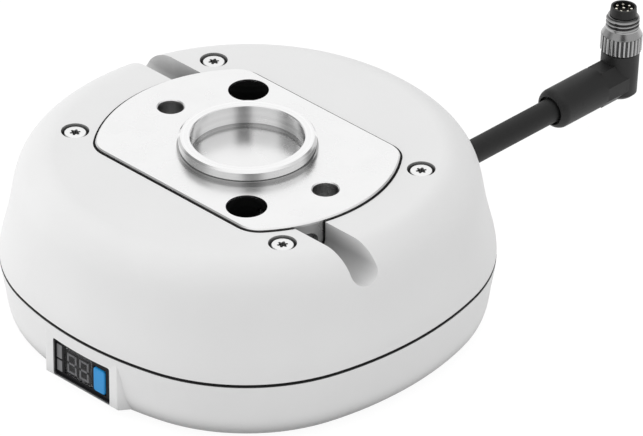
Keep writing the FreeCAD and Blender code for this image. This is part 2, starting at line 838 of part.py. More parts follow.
# Centring ring: its neck stands in the ring seat, and its dished shoulder clears the relief around it
ring_neck = s.ring_neck_radius - s.thread_fit
node("centring_ring", turned("CentringRing", [
    (s.ring_bore_radius, -s.ring_neck_depth), (ring_neck, -s.ring_neck_depth),
    (ring_neck, -s.ring_dish), (s.ring_radius, 0),
    (s.ring_radius, s.ring_height - s.ring_chamfer), (s.ring_radius - s.ring_chamfer, s.ring_height),
    (s.ring_bore_radius + s.ring_bore_chamfer, s.ring_height),
    (s.ring_bore_radius, s.ring_height - s.ring_bore_chamfer)]))

# Pin bushes: dark lined bores, open on one side where the lock screw comes in
bushes = []
for side, sign in lock_sides():
    pin_place = (sign * pin_x, -sign * pin_y)
    sleeve = tube(f"Bush{side}", s.bush_radius - s.thread_fit, s.pin_bore_radius, "Z",
                  (plate_bottom, -s.bush_lip), pin_place)
    bushes.append(cut(
        f"BushOpen{side}", sleeve,
        rod(f"BushLock{side}", s.lock_radius + s.thread_fit, "X",
            channel_span(sign, pin_x - s.lock_run_out, amount(FAR)), (-sign * lock_y, lock_z))))
node("pin_bushes", group("PinBushes", *bushes))

# Lock screws: headless screws with a hexagon socket, at rest just clear of the pin bores
for side, sign in lock_sides():
    across = (-sign * lock_y, lock_z)
    outer_end = lock_tip + s.lock_length
    shank = rod(f"LockShank{side}", s.lock_radius, "X", channel_span(sign, lock_tip + s.lock_point, outer_end), across)
    point_radii = (s.lock_radius / 2, s.lock_radius)
    point = cone(f"LockPoint{side}", point_radii if sign > 0 else point_radii[::-1], "X",
                 channel_span(sign, lock_tip, lock_tip + s.lock_point), across)
    socket = doc.addObject("Part::Prism", f"LockSocket{side}")
    socket.Polygon = 6
    bind(socket, "Circumradius", s.lock_socket_radius)
    bind(socket, "Height", s.lock_socket_depth + MARGIN)
    socket_start = channel_span(sign, outer_end - s.lock_socket_depth, outer_end + MARGIN)[0]
    place(socket, socket_start, *across, "X")
    node(f"lock_screw_{side.lower()}", cut(f"LockScrew{side}", fuse(f"LockBody{side}", shank, point), socket))

# Housing screws: pan heads with a six-lobe recess
screws = []
head_top = top - s.screw_head_sink
for k, (x, y) in enumerate(screw_places()):
    head = rod(f"Head{k}", s.screw_head_radius, "Z", (seat_level, head_top - s.screw_head_chamfer), (x, y))
    crown = cone(f"Crown{k}", (s.screw_head_radius, s.screw_head_radius - s.screw_head_chamfer), "Z",
                 (head_top - s.screw_head_chamfer, head_top), (x, y))
    shank = rod(f"Shank{k}", s.screw_radius, "Z", (seat_level - s.screw_length, seat_level), (x, y))
    recess = (head_top - s.star_depth, head_top + MARGIN)
    star = [rod(f"Star{k}", s.star_core_radius, "Z", recess, (x, y))]
    for lobe in range(STAR_LOBES):
        angle = 360 * lobe / STAR_LOBES
        lobe_place = (x + s.star_lobe_pitch * cosine(angle), y + s.star_lobe_pitch * sine(angle))
        star.append(rod(f"Star{k}Lobe{lobe}", s.star_lobe_radius, "Z", recess, lobe_place))
    screws.append(cut(f"Screw{k}", fuse(f"ScrewBody{k}", head, crown, shank), *star))
node("housing_screws", group("HousingScrews", *screws))


# Display unit: a bezel with pockets for the lens, the two lamps and the button

def front_block(name, x, z, front, depth, radius):
    """A block with round corners seen from the front, from its front face backwards."""
    body = new_body(name)
    outline = rounded_rectangle(body, name + "Outline", "XZ_Plane", front, x, z, radius)
    return body, pad(body, name + "Pad", outline, depth, back=True)


def grown(span, by):
    return (span[0] - by, span[1] + by)


bezel_rim = pod_face - s.bezel_sink
bezel_front = pod_face - s.display_recess
bezel_back = bezel_front - s.bezel_depth
lens_x, lens_z = (s.lens_left, s.lens_right), (-s.lens_bottom, -s.lens_top)
button_x, button_z = (s.button_left, s.button_right), (-s.button_bottom, -s.button_top)
led_x = (s.led_left, s.led_right)
led_spans = (("Upper", (-s.led_split_upper, -s.led_top)), ("Lower", (-s.led_bottom, -s.led_split_lower)))
bezel_form, _ = front_block("BezelForm", grown(window_x, -s.bezel_fit), grown(window_z, -s.bezel_fit),
                            bezel_rim, bezel_rim - bezel_back, s.window_corner_radius - s.bezel_fit)
rim_inside = s.bezel_fit + s.bezel_rim
bezel_recess, _ = front_block("BezelRecess", grown(window_x, -rim_inside), grown(window_z, -rim_inside),
                              bezel_rim + MARGIN, bezel_rim + MARGIN - bezel_front,
                              s.window_corner_radius - rim_inside)
through_bezel = (-bezel_front - MARGIN, -bezel_back + MARGIN)
bezel_cuts = [bezel_recess]
for name, x, z in (("Lens", lens_x, lens_z), ("Button", button_x, button_z)):
    bezel_cuts.append(box(f"{name}Pocket", grown(x, s.insert_fit), through_bezel, grown(z, s.insert_fit)))
for name, z in led_spans:
    bezel_cuts.append(box(f"Lamp{name}Pocket", grown(led_x, s.insert_fit), through_bezel, grown(z, s.insert_fit)))
node("display_bezel", cut("DisplayBezel", bezel_form, *bezel_cuts))
lens, _ = front_block("DisplayLens", lens_x, lens_z, bezel_front, s.lens_thickness, s.lens_corner_radius)
node("display_lens", lens)
digits_front = bezel_front - s.lens_thickness - s.lens_space
node("digit_display", box("DigitDisplay", lens_x, (-digits_front, -bezel_back), lens_z))
node("led_windows", group("LedWindows", *[
    box(f"Lamp{name}", led_x, (-bezel_front, -bezel_back), z) for name, z in led_spans]))


def digit_bars(label, centre):
    """The seven bars of one figure: three across, four upright, with a gap at each joint."""
    half_width = s.digit_width / 2
    half_height = s.digit_height / 2
    half_bar = s.segment_width / 2
    y = (-digits_front - s.segment_height, -digits_front)
    bars = []
    for k, lift in enumerate((-half_height + half_bar, amount(0), half_height - half_bar)):
        z = lift - s.digit_centre_drop
        x = (centre - half_width + s.segment_width + s.segment_gap, centre + half_width - s.segment_width - s.segment_gap)
        bars.append(box(f"{label}Across{k}", x, y, (z - half_bar, z + half_bar)))
    for k, (side, rise) in enumerate(QUARTERS):
        middle = centre + side * (half_width - half_bar)
        ends = sorted((rise * (half_bar + s.segment_gap), rise * half_height), key=lambda end: end.number)
        z = tuple(end - s.digit_centre_drop for end in ends)
        bars.append(box(f"{label}Upright{k}", (middle - half_bar, middle + half_bar), y, z))
    return bars


node("digit_segments", group(
    "DigitSegments", *digit_bars("FirstDigit", s.digit_centre_x - s.digit_pitch / 2),
    *digit_bars("SecondDigit", s.digit_centre_x + s.digit_pitch / 2)))

# Set button: slides in its pocket towards the switch on the display board
button_front = bezel_front + s.button_proud
button, button_pad = front_block("SetButton", button_x, button_z, button_front, s.button_length,
                                 s.button_corner_radius)
button_rim = edges_where(button_pad, lambda b: b.YMax < -button_front.number + 1e-4)
fillet(button, "ButtonRounding", button_pad, button_rim, s.button_edge_radius)
node("set_button", button)
button_middle = ((s.button_left + s.button_right) / 2, -(s.button_top + s.button_bottom) / 2)
half_switch = s.switch_width / 2
node("button_switch", box(
    "ButtonSwitch", (button_middle[0] - half_switch, button_middle[0] + half_switch),
    (-bezel_back - s.switch_height, -bezel_back), (button_middle[1] - half_switch, button_middle[1] + half_switch)))
node("display_board", box(
    "DisplayBoard", (-s.display_board_half_width, s.display_board_half_width),
    (-bezel_back, -bezel_back + s.board_thickness), (-s.display_board_bottom, -s.display_board_top)))

# Pillars: posts with a threaded stud up into the flange plate and a thread for the base screw below
pillars, base_screws, base_cuts = [], [], []
screw_tip = bottom + s.base_screw_length
head_radii = (s.base_screw_head_radius, s.stud_radius)
for k, place_xy in enumerate(pillar_places):
    post = rod(f"Post{k}", s.pillar_radius, "Z", (base_top, plate_bottom), place_xy)
    stud = rod(f"Stud{k}", s.stud_radius, "Z", (plate_bottom, plate_bottom + s.stud_length), place_xy)
    tapped = rod(f"Tapped{k}", s.stud_radius + s.thread_fit, "Z", (base_top - MARGIN, screw_tip + MARGIN), place_xy)
    pillars.append(cut(f"Pillar{k}", fuse(f"PillarBody{k}", post, stud), tapped))
    head_span = (bottom, bottom + s.base_screw_head_depth)
    base_screws.append(fuse(
        f"BaseScrew{k}", cone(f"BaseHead{k}", head_radii, "Z", head_span, place_xy),
        rod(f"BaseShank{k}", s.stud_radius, "Z", (bottom, screw_tip), place_xy)))
    base_cuts.append(cone(f"Countersink{k}", (head_radii[0] + s.thread_fit, head_radii[1] + s.thread_fit), "Z",
                          head_span, place_xy))
    base_cuts.append(rod(f"BaseHole{k}", s.stud_radius + s.thread_fit, "Z",
                         (bottom - MARGIN, base_top + MARGIN), place_xy))
node("pillars", group("Pillars", *pillars))
node("base_screws", group("BaseScrews", *base_screws))

# Base plate: fills the floor opening, its rim rests on the gasket inside the tray
base_disc = fuse(
    "BaseDisc", rod("BaseFace", s.base_opening_radius - s.base_opening_gap, "Z", (bottom, base_rim_bottom)),
    rod("BaseRim", base_rim_radius, "Z", (base_rim_bottom, base_top)))
tool_holes = [(s.tool_pitch_radius, 0), (0, s.tool_pitch_radius), (-s.tool_pitch_radius, 0), (0, -s.tool_pitch_radius)]
for k, place_xy in enumerate(tool_holes):
    base_cuts.append(rod(f"ToolHole{k}", s.tool_hole_radius, "Z", (bottom - MARGIN, bottom + s.tool_hole_depth), place_xy))
exhaust_place = (s.exhaust_x, s.exhaust_y)
through_base = (bottom - MARGIN, base_top + MARGIN)
base_cuts.append(rod("PortHole", s.port_insert_radius + s.thread_fit, "Z", through_base))
base_cuts.append(rod("ExhaustHole", s.exhaust_radius + s.thread_fit, "Z", through_base, exhaust_place))
node("base_plate", cut("BasePlate", base_disc, *base_cuts))
node("base_gasket", tube("BaseGasket", base_rim_radius, s.base_opening_radius, "Z", (floor_top, base_rim_bottom)))
node("exhaust_filter", rod("ExhaustFilter", s.exhaust_radius, "Z", (bottom + s.thread_fit, base_top), exhaust_place))

# Suction port: threaded insert with a filter disc and a seal ring under the manifold
filter_bottom = base_top - s.port_filter_thickness
seal_ring = doc.addObject("Part::Torus", "PortSeal")
bind(seal_ring, "Radius1", s.port_seal_ring_radius)
bind(seal_ring, "Radius2", s.port_seal_radius)
place(seal_ring, 0, 0, base_top - s.port_seal_radius)
groove = tube("SealGroove", s.port_seal_ring_radius + s.port_seal_radius + s.thread_fit,
              s.port_seal_ring_radius - s.port_seal_radius - s.thread_fit, "Z",
              (base_top - 2 * s.port_seal_radius - s.thread_fit, base_top + MARGIN))
node("vacuum_port", cut(
    "VacuumPort", rod("PortInsert", s.port_insert_radius, "Z", (bottom, base_top)),
    rod("PortBore", s.port_bore_radius, "Z", (bottom - MARGIN, bottom + s.port_bore_depth)),
    rod("PortDuct", s.port_duct_radius, "Z", (bottom, base_top + MARGIN)),
    rod("FilterSeat", s.port_filter_radius + s.thread_fit, "Z", (filter_bottom, base_top + MARGIN)), groove))
node("port_filter", rod("PortFilter", s.port_filter_radius, "Z", (filter_bottom, base_top)))
node("port_seal", seal_ring)

# Manifold between port, pump, sensor and vent valve
manifold_top = base_top + s.manifold_height
duct_across = (0, -s.duct_level)
manifold_x = (-s.manifold_half_length, s.manifold_half_length)
node("manifold", cut(
    "Manifold", box("ManifoldBlock", manifold_x, (-s.manifold_half_width, s.manifold_half_width),
                    (base_top, manifold_top)),
    rod("SuctionDuct", s.port_duct_radius, "Z", (base_top - MARGIN, -s.duct_level)),
    rod("SensorDuct", s.duct_radius, "Z", (-s.duct_level, manifold_top + MARGIN)),
    rod("CrossDuct", s.duct_radius, "X", grown(manifold_x, MARGIN), duct_across)))
sensor_across = (-s.sensor_half_width, s.sensor_half_width)
node("vacuum_sensor", fuse(
    "VacuumSensor", box("SensorCase", sensor_across, sensor_across, (manifold_top, manifold_top + s.sensor_height)),
    rod("SensorNipple", s.duct_radius - s.thread_fit, "Z", (-s.duct_level + s.duct_radius, manifold_top))))
valve_face = -s.manifold_half_length
valve_back = valve_face - s.valve_length
node("vent_valve", cut(
    "VentValve", box("ValveBlock", (valve_back, valve_face), (-s.valve_half_width, s.valve_half_width),
                     (-s.duct_level - s.valve_half_width, -s.duct_level + s.valve_half_width)),
    rod("ValveDuct", s.duct_radius, "X", (valve_face - s.valve_length / 2, valve_face + MARGIN), duct_across)))
node("valve_coil", rod("ValveCoil", s.coil_radius, "X", (valve_back - s.coil_length, valve_back), duct_across))

# Diaphragm pump: head, rubber sheet, crank block and connecting rod
head_face = s.manifold_half_length
sheet_face = head_face + s.head_length
block_face = sheet_face + s.diaphragm_thickness
pump_y = (-s.pump_half_width, s.pump_half_width)
pump_z = (base_top, -s.pump_top)
crank = (s.crank_x, 0)
node("pump_head", cut(
    "PumpHead", box("HeadBlock", (head_face, sheet_face), pump_y, pump_z),
    rod("HeadDuct", s.duct_radius, "X", (head_face - MARGIN, sheet_face), duct_across),
    cone("HeadDish", (s.duct_radius, s.head_dish_radius), "X", (sheet_face - s.head_dish_depth, sheet_face), duct_across)))
node("diaphragm", box("Diaphragm", (sheet_face, block_face), pump_y, pump_z))
node("pump_block", cut(
    "PumpBlock", box("CrankBlock", (block_face, block_face + s.block_length), pump_y, pump_z),
    rod("CrankChamber", s.crank_chamber_radius, "Z", (-s.pump_top - s.crank_chamber_depth, -s.pump_top + MARGIN), crank),
    rod("RodPassage", s.rod_passage_radius, "X", (block_face - MARGIN, s.crank_x), duct_across)))
eye_bore = s.eccentric_radius + s.crank_throw + s.rod_eye_gap
half_rod = s.rod_thickness / 2
rod_z = (-s.duct_level - half_rod, -s.duct_level + half_rod)
rod_plate_back = block_face + s.rod_plate_thickness
node("connecting_rod", cut(
    "ConnectingRod", fuse(
        "RodBody", rod("RodEye", eye_bore + s.rod_eye_wall, "Z", rod_z, crank),
        box("RodShank", (block_face, s.crank_x), (-half_rod, half_rod), rod_z),
        rod("RodPlate", s.rod_plate_radius, "X", (block_face, rod_plate_back), duct_across)),
    rod("RodEyeBore", eye_bore, "Z", grown(rod_z, MARGIN), crank)))

# Motor: a stator on the crank block, and a bell whose shaft carries the eccentric down into the chamber
flange_top = -s.pump_top + s.stator_flange_thickness
stator_bottom = flange_top + s.air_gap
stator_top = stator_bottom + s.stator_height
node("motor_stator", cut(
    "MotorStator", fuse(
        "StatorBody", rod("StatorFlange", s.stator_flange_radius, "Z", (-s.pump_top, flange_top), crank),
        rod("StatorHub", s.stator_hub_radius, "Z", (-s.pump_top, stator_top), crank),
        rod("StatorCore", s.stator_radius, "Z", (stator_bottom, stator_top), crank)),
    rod("StatorBore", s.shaft_radius + s.shaft_fit, "Z", (-s.pump_top - MARGIN, stator_top + MARGIN), crank)))
bell_inside = stator_top + s.air_gap
bell_top = bell_inside + s.bell_top_thickness
node("motor_rotor", fuse(
    "MotorRotor", tube("BellWall", s.bell_radius, s.bell_radius - s.bell_wall, "Z", (stator_bottom, bell_inside), crank),
    rod("BellTop", s.bell_radius, "Z", (bell_inside, bell_top), crank),
    rod("MotorShaft", s.shaft_radius, "Z", (-s.pump_top - s.shaft_depth, bell_top), crank),
    rod("Eccentric", s.eccentric_radius, "Z", rod_z, (s.crank_x + s.crank_throw, 0))))

# Main board across the back, with the connector that takes the cable
board_back = s.main_board_y + s.board_thickness
node("main_board", box("MainBoard", (-s.main_board_half_width, s.main_board_half_width),
                       (s.main_board_y, board_back), (base_top, -s.main_board_top)))
connector_back = board_back + s.connector_depth
half_connector = s.connector_height / 2
node("board_connector", box(
    "BoardConnector", (-s.connector_half_width, s.connector_half_width), (board_back, connector_back),
    (-s.cable_level - half_connector, -s.cable_level + half_connector)))

# Cable with its gland in the tray's wall
node("cable_gland", cut(
    "CableGland", fuse(
        "GlandBody", rod("GlandSleeve", s.gland_radius, "Y", (gland_start, gland_end), cable_across),
        rod("GlandCollar", s.gland_collar_radius, "Y", (gland_start, gland_start + s.gland_collar_length), cable_across)),
    rod("GlandBore", s.cable_radius + s.cable_fit, "Y", (gland_start - MARGIN, gland_end + MARGIN), cable_across)))
cable_end = boot_start + s.boot_mouth_depth + s.cable_grip
node("cable", rod("Cable", s.cable_radius, "Y", (connector_back, cable_end), cable_across))


# Angled plug, in a frame of its own: the column's axis crosses the cable's axis at its origin

def lean(thing, x, y, rise):
    """Places a piece of the plug by its distance across, along the cable and up the leaning column."""
    thing.Placement = Placement(Vector(), Rotation(-AXES["X"], SIZES["plug_lean"]))
    bind(thing, "Placement.Rotation.Angle", s.plug_lean)
    bind(thing, "Placement.Base.x", x)
    bind(thing, "Placement.Base.y", plug_axis_y + y * cosine(s.plug_lean) + rise * sine(s.plug_lean))
    bind(thing, "Placement.Base.z", rise * cosine(s.plug_lean) - y * sine(s.plug_lean) - s.cable_level)
    return thing


def column_rod(name, radius, low, high, x=amount(0), y=amount(0)):
    thing = doc.addObject("Part::Cylinder", name)
    bind(thing, "Radius", radius)
    bind(thing, "Height", high - low)
    return lean(thing, x, y, low)


def column_cone(name, radii, low, high):
    thing = doc.addObject("Part::Cone", name)
    bind(thing, "Radius1", radii[0])
    bind(thing, "Radius2", radii[1])
    bind(thing, "Height", high - low)
    return lean(thing, amount(0), amount(0), low)


# Plug body: a round boot on the cable, a faceted elbow and an upright column
boot = new_body("PlugBoot")
boot_sketch = new_sketch(boot, "PlugBootCircle", "XZ_Plane", -boot_start)
boot_circle = boot_sketch.addGeometry(Part.Circle(Vector(0, -SIZES["cable_level"], 0), AXES["Z"], SIZES["boot_radius"]))
fix(boot_sketch, "DistanceX", boot_circle, 3, 0)
fix(boot_sketch, "DistanceY", boot_circle, 3, -s.cable_level)
set_radius(boot_sketch, [boot_circle], s.boot_radius)
boot_pad = pad(boot, "PlugBootPad", boot_sketch, elbow_start - boot_start, back=True)
nose = edges_where(boot_pad, lambda b: b.YMax < boot_start.number + 1e-4)
fillet(boot, "PlugBootNose", boot_pad, nose, s.boot_nose_radius - s.cable_fit)
elbow = new_body("PlugElbow")
half_section = [(s.elbow_bottom_half_width, -s.column_drop), (s.elbow_half_width, -s.elbow_side_drop),
                (s.elbow_half_width, s.elbow_crease), (s.elbow_top_half_width, s.elbow_top)]
elbow_sketch = polygon(elbow, "PlugElbowSection", "XZ_Plane", 0,
                       half_section + [(-x, z) for x, z in reversed(half_section)])
pad(elbow, "PlugElbowPad", elbow_sketch, plug_axis_y - elbow_start)
place(elbow, 0, plug_axis_y, -s.cable_level)
foot = -s.column_drop + s.column_chamfer
column = fuse("PlugColumn", column_rod("ColumnPost", s.column_radius, foot, s.column_rise),
              column_cone("ColumnFoot", (s.column_radius - s.column_chamfer, s.column_radius), -s.column_drop, foot))
node("plug_body", cut(
    "PlugBody", fuse("PlugForm", boot, elbow, column),
    rod("PlugCableBore", s.cable_radius + s.cable_fit, "Y", (boot_start, cable_end), cable_across),
    rod("PlugMouth", s.boot_mouth_radius, "Y", (boot_start - MARGIN, boot_start + s.boot_mouth_depth), cable_across)))

# Plug insert: a core through the collar, a head above it, and contacts standing in the head's recess
collar_bottom = s.column_rise + s.collar_play
grip_top = collar_bottom + s.grip_height
thread_bottom = grip_top + s.cone_height
collar_top = thread_bottom + s.thread_pitch * THREAD_TURNS
head_bottom = collar_top + s.collar_play
pin_places = [(amount(0), amount(0))]
for k in range(RING_PINS):
    angle = s.pin_first_angle + 360 * k / RING_PINS
    pin_places.append((s.pin_ring_radius * cosine(angle), s.pin_ring_radius * sine(angle)))
pin_high = s.insert_rise - s.pin_sink
pin_low = pin_high - s.pin_length
recess_floor = s.insert_rise - s.insert_recess_depth
pin_holes = [column_rod(f"PinHole{k}", s.pin_radius + s.thread_fit / 2, pin_low, recess_floor + MARGIN, x, y)
             for k, (x, y) in enumerate(pin_places)]
node("plug_insert", cut(
    "PlugInsert", fuse("InsertForm", column_rod("InsertCore", s.insert_radius, s.column_rise, head_bottom),
                       column_cone("InsertHead", (s.insert_head_radius, s.insert_tip_radius), head_bottom, s.insert_rise)),
    column_rod("InsertRecess", s.insert_recess_radius, recess_floor, s.insert_rise + MARGIN), *pin_holes))
node("plug_pins", group("PlugPins", *[
    column_rod(f"Pin{k}", s.pin_radius, pin_low, pin_high, x, y) for k, (x, y) in enumerate(pin_places)]))

# Plug collar: a turned nut with a grooved grip, a cone and a thread
collar_bore = s.insert_radius + s.collar_fit
thread_root = s.thread_radius - s.thread_depth
collar_points = [
    (collar_bore, collar_bottom), (s.grip_foot_radius, collar_bottom),
    (s.grip_radius, collar_bottom + s.grip_foot), (s.grip_radius, grip_top), (s.thread_radius, thread_bottom)]
for k in range(THREAD_TURNS):
    turn = thread_bottom + s.thread_pitch * k
    collar_points += [(thread_root, turn + s.thread_pitch * 0.3), (thread_root, turn + s.thread_pitch * 0.5),
                      (s.thread_radius, turn + s.thread_pitch * 0.8), (s.thread_radius, turn + s.thread_pitch)]
collar_points += [(collar_bore, collar_top)]
collar_form = lean(turned("CollarForm", collar_points), amount(0), amount(0), amount(0))
grooves = []
for k in range(GRIP_GROOVES):
    angle = 360 * k / GRIP_GROOVES
    grooves.append(column_rod(f"GripGroove{k}", s.grip_groove_radius, collar_bottom - MARGIN, grip_top + MARGIN,
                              s.grip_radius * cosine(angle), s.grip_radius * sine(angle)))
node("plug_collar", cut("PlugCollar", collar_form, *grooves))

# Every object is checked before anything is written
doc.recompute()
for thing in doc.Objects:
    if "Invalid" in thing.State or "Error" in thing.State:
        raise RuntimeError(f"{thing.Name} failed: {thing.State}")
for name, thing in nodes.items():
    if thing.Shape.isNull() or not thing.Shape.isValid():
        raise RuntimeError(f"{name} has no valid shape")

os.makedirs("parts", exist_ok=True)
for name, thing in nodes.items():
    thing.Shape.exportStep(f"parts/{name}.step")
    print(f"{name}: {len(thing.Shape.Solids)} solids, {thing.Shape.Volume:.1f} mm3")
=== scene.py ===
import bpy
import json
import math
import numpy as np
from mathutils import Matrix, Vector


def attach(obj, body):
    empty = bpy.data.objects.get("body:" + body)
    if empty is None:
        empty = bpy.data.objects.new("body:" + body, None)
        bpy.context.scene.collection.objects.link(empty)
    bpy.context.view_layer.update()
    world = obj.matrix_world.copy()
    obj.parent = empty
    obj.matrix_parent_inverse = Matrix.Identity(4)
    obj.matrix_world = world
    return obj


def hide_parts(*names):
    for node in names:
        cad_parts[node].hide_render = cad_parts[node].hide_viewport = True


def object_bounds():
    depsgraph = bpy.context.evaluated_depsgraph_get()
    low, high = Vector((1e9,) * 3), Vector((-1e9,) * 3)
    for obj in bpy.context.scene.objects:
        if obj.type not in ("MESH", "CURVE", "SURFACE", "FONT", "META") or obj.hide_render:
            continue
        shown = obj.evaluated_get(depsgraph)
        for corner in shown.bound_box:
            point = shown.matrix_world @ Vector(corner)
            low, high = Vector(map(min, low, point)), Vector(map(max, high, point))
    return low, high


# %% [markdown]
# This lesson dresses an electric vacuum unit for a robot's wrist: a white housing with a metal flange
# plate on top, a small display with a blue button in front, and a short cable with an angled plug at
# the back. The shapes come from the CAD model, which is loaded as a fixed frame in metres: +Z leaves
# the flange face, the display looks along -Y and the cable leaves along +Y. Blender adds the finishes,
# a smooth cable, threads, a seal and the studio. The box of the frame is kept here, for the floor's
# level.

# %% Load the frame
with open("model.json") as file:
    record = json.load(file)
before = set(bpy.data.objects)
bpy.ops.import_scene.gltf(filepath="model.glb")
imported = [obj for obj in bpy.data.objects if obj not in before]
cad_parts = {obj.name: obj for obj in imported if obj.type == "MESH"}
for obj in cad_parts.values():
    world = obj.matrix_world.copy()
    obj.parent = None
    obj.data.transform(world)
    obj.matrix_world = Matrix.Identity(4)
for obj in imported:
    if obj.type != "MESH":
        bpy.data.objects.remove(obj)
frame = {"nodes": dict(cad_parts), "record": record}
cad_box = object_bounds()
nodes = frame["nodes"]
scene = bpy.context.scene
print("frame:", len(nodes), "nodes, box", np.round(cad_box, 4).tolist())

# %% [markdown]
# The camera comes first, because everything is judged through it. It could be turned by eye until the
# picture looks right, but the flange carries a hole circle of known size: the ellipse that the circle
# makes in the picture gives the angle, and the drift of the far edges gives the distance. A long lens
# nearly two metres away keeps the sides almost parallel. The camera's three directions are the columns
# of its matrix.

# %% Camera
IMAGE_WIDTH = 643
SENSOR = 36.0
FOCAL_PIXELS = 8132.0
AZIMUTH = math.radians(45.072)
ELEVATION = math.radians(32.313)
DISTANCE = 1.84073
ASIDE = 0.016749
BELOW = -0.015958

toward = Vector((math.sin(AZIMUTH), -math.cos(AZIMUTH), 0.0))
view_back = Vector((math.sin(AZIMUTH) * math.cos(ELEVATION),
                    -math.cos(AZIMUTH) * math.cos(ELEVATION), math.sin(ELEVATION)))
view_right = Vector((math.cos(AZIMUTH), math.sin(AZIMUTH), 0.0))
view_up = view_back.cross(view_right)
eye = view_back * DISTANCE + view_right * ASIDE + view_up * BELOW


def in_scene(name, data):
    """Makes an object from its data and links it to the scene."""
    made = bpy.data.objects.new(name, data)
    scene.collection.objects.link(made)
    return made


lens = bpy.data.cameras.new("camera")
lens.sensor_width = SENSOR
lens.sensor_fit = "HORIZONTAL"
lens.lens = FOCAL_PIXELS / IMAGE_WIDTH * SENSOR
lens.clip_start = 0.05
lens.clip_end = 20.0
camera = in_scene("camera", lens)
turn = Matrix((view_right, view_up, view_back)).transposed().to_4x4()
camera.matrix_world = Matrix.Translation(eye) @ turn
scene.camera = camera
scene.view_settings.view_transform = "Standard"
print("camera:", round(lens.lens, 1), "mm lens at", np.round(eye, 3).tolist())

# %% [markdown]
# The cable is a short, stiff lead: it leaves the tray through a rubber gland and ends in the boot of an
# angled plug. A row of cylinders would show its joints, so it is a NURBS curve with a round bevel,
# which keeps its line smooth. The order and the end points are set after the control points, because
# otherwise Blender leaves straight runs. The points carry the radius, on a bevel of depth one, because
# Blender adds a point's radius to the curve's box.

# %% Cable
CABLE_RADIUS = 0.00295
CABLE_LEVEL = -0.03355
CABLE_FROM, CABLE_EXIT, CABLE_TO = 0.035, 0.0542, 0.1051
cable_route = [(0.0, y, CABLE_LEVEL) for y in (CABLE_FROM, CABLE_EXIT, 0.069, 0.085, CABLE_TO)]

cable_line = bpy.data.curves.new("lead", "CURVE")
cable_line.dimensions = "3D"
cable_line.bevel_depth = 1.0
cable_line.bevel_resolution = 10
cable_line.resolution_u = 24
cable_line.use_fill_caps = True
run = cable_line.splines.new("NURBS")
run.points.add(len(cable_route) - 1)
for point, place in zip(run.points, cable_route):
    point.co = (*place, 1.0)
    point.radius = CABLE_RADIUS
run.order_u = 3
run.use_endpoint_u = True
lead = in_scene("lead", cable_line)
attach(lead, "unit")
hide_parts("cable")
print("lead:", round((CABLE_TO - CABLE_FROM) * 1000, 1), "mm long,", CABLE_RADIUS * 2000, "mm thick")

# %% [markdown]
# Three pieces come off a lathe and get finer shapes than the CAD model needs: the centring ring, the
# plug's collar and the suction port. Each starts as a closed outline, whose corners are given by radius
# and height. A Bevel modifier could round the corners later, but it would also cut into the threads, so
# the outline gets its small arcs here. The flank of a thread is a wave along the height, on many rows.

# %% Outlines
MILLIMETRE = 0.001
CORNER_PULL = 0.29
CREST_FLAT, FLANK = 0.2, 0.55


def soften(outline, size):
    """Gives each corner of a closed outline five points, which make a small arc.

    Two lie on either side, one and two sizes away from the corner, and one is pulled in between them.
    """
    corner = np.asarray(outline, float)
    back = np.roll(corner, 1, axis=0) - corner
    ahead = np.roll(corner, -1, axis=0) - corner
    back /= np.linalg.norm(back, axis=1, keepdims=True)
    ahead /= np.linalg.norm(ahead, axis=1, keepdims=True)
    middle = corner + CORNER_PULL * size * (back + ahead)
    points = [corner + 2 * size * back, corner + size * back, middle,
              corner + size * ahead, corner + 2 * size * ahead]
    return np.stack(points, axis=1).reshape(-1, 2)


def wave(turns):
    """The cut of a thread: 0 on the crest, 1 in the root, with flats on both and straight flanks between.

    It is twice the distance from the middle of a turn, less the crest's flat, in parts of the flank.
    """
    return np.clip((np.abs(2 * (turns % 1.0) - 1) - CREST_FLAT) / FLANK, 0.0, 1.0)


def straight_rows(radius, start, end, count):
    """Outline points of one radius, at even heights from a start to an end."""
    return np.stack([np.full(count, radius), np.linspace(start, end, count)], axis=1)

# %% [markdown]
# A Screw modifier could spin an outline, but a thread or a knurl changes the radius with the angle, so
# each piece is a grid instead: one row for every point of its outline and one column for every angle.
# Each has a hole through it, so its surface closes both ways. The outline runs anticlockwise, seen with
# the radius to the right and the height upwards, so that the faces look outwards. The grid also gives a
# map that runs round the piece, and every point carries a share of polish, which also paints shade into
# roots and grooves.

# %% Turned surfaces
def column_angles(columns):
    """Even angles round a full turn, without the last one, which would be the first again."""
    return np.linspace(0.0, 2 * math.pi, columns, endpoint=False)


def spread(outline, columns):
    """Repeats an outline's radius and height over all the columns of a grid."""
    return np.repeat(outline[:, :1], columns, axis=1), np.repeat(outline[:, 1:], columns, axis=1)


def grid_corners(rows, columns):
    """The corners of a grid's faces: a point, the next in its row, and the same two in the next row."""
    row, column = np.meshgrid(np.arange(rows), np.arange(columns), indexing="ij")
    return [(row, column), (row, column + 1), (row + 1, column + 1), (row + 1, column)]


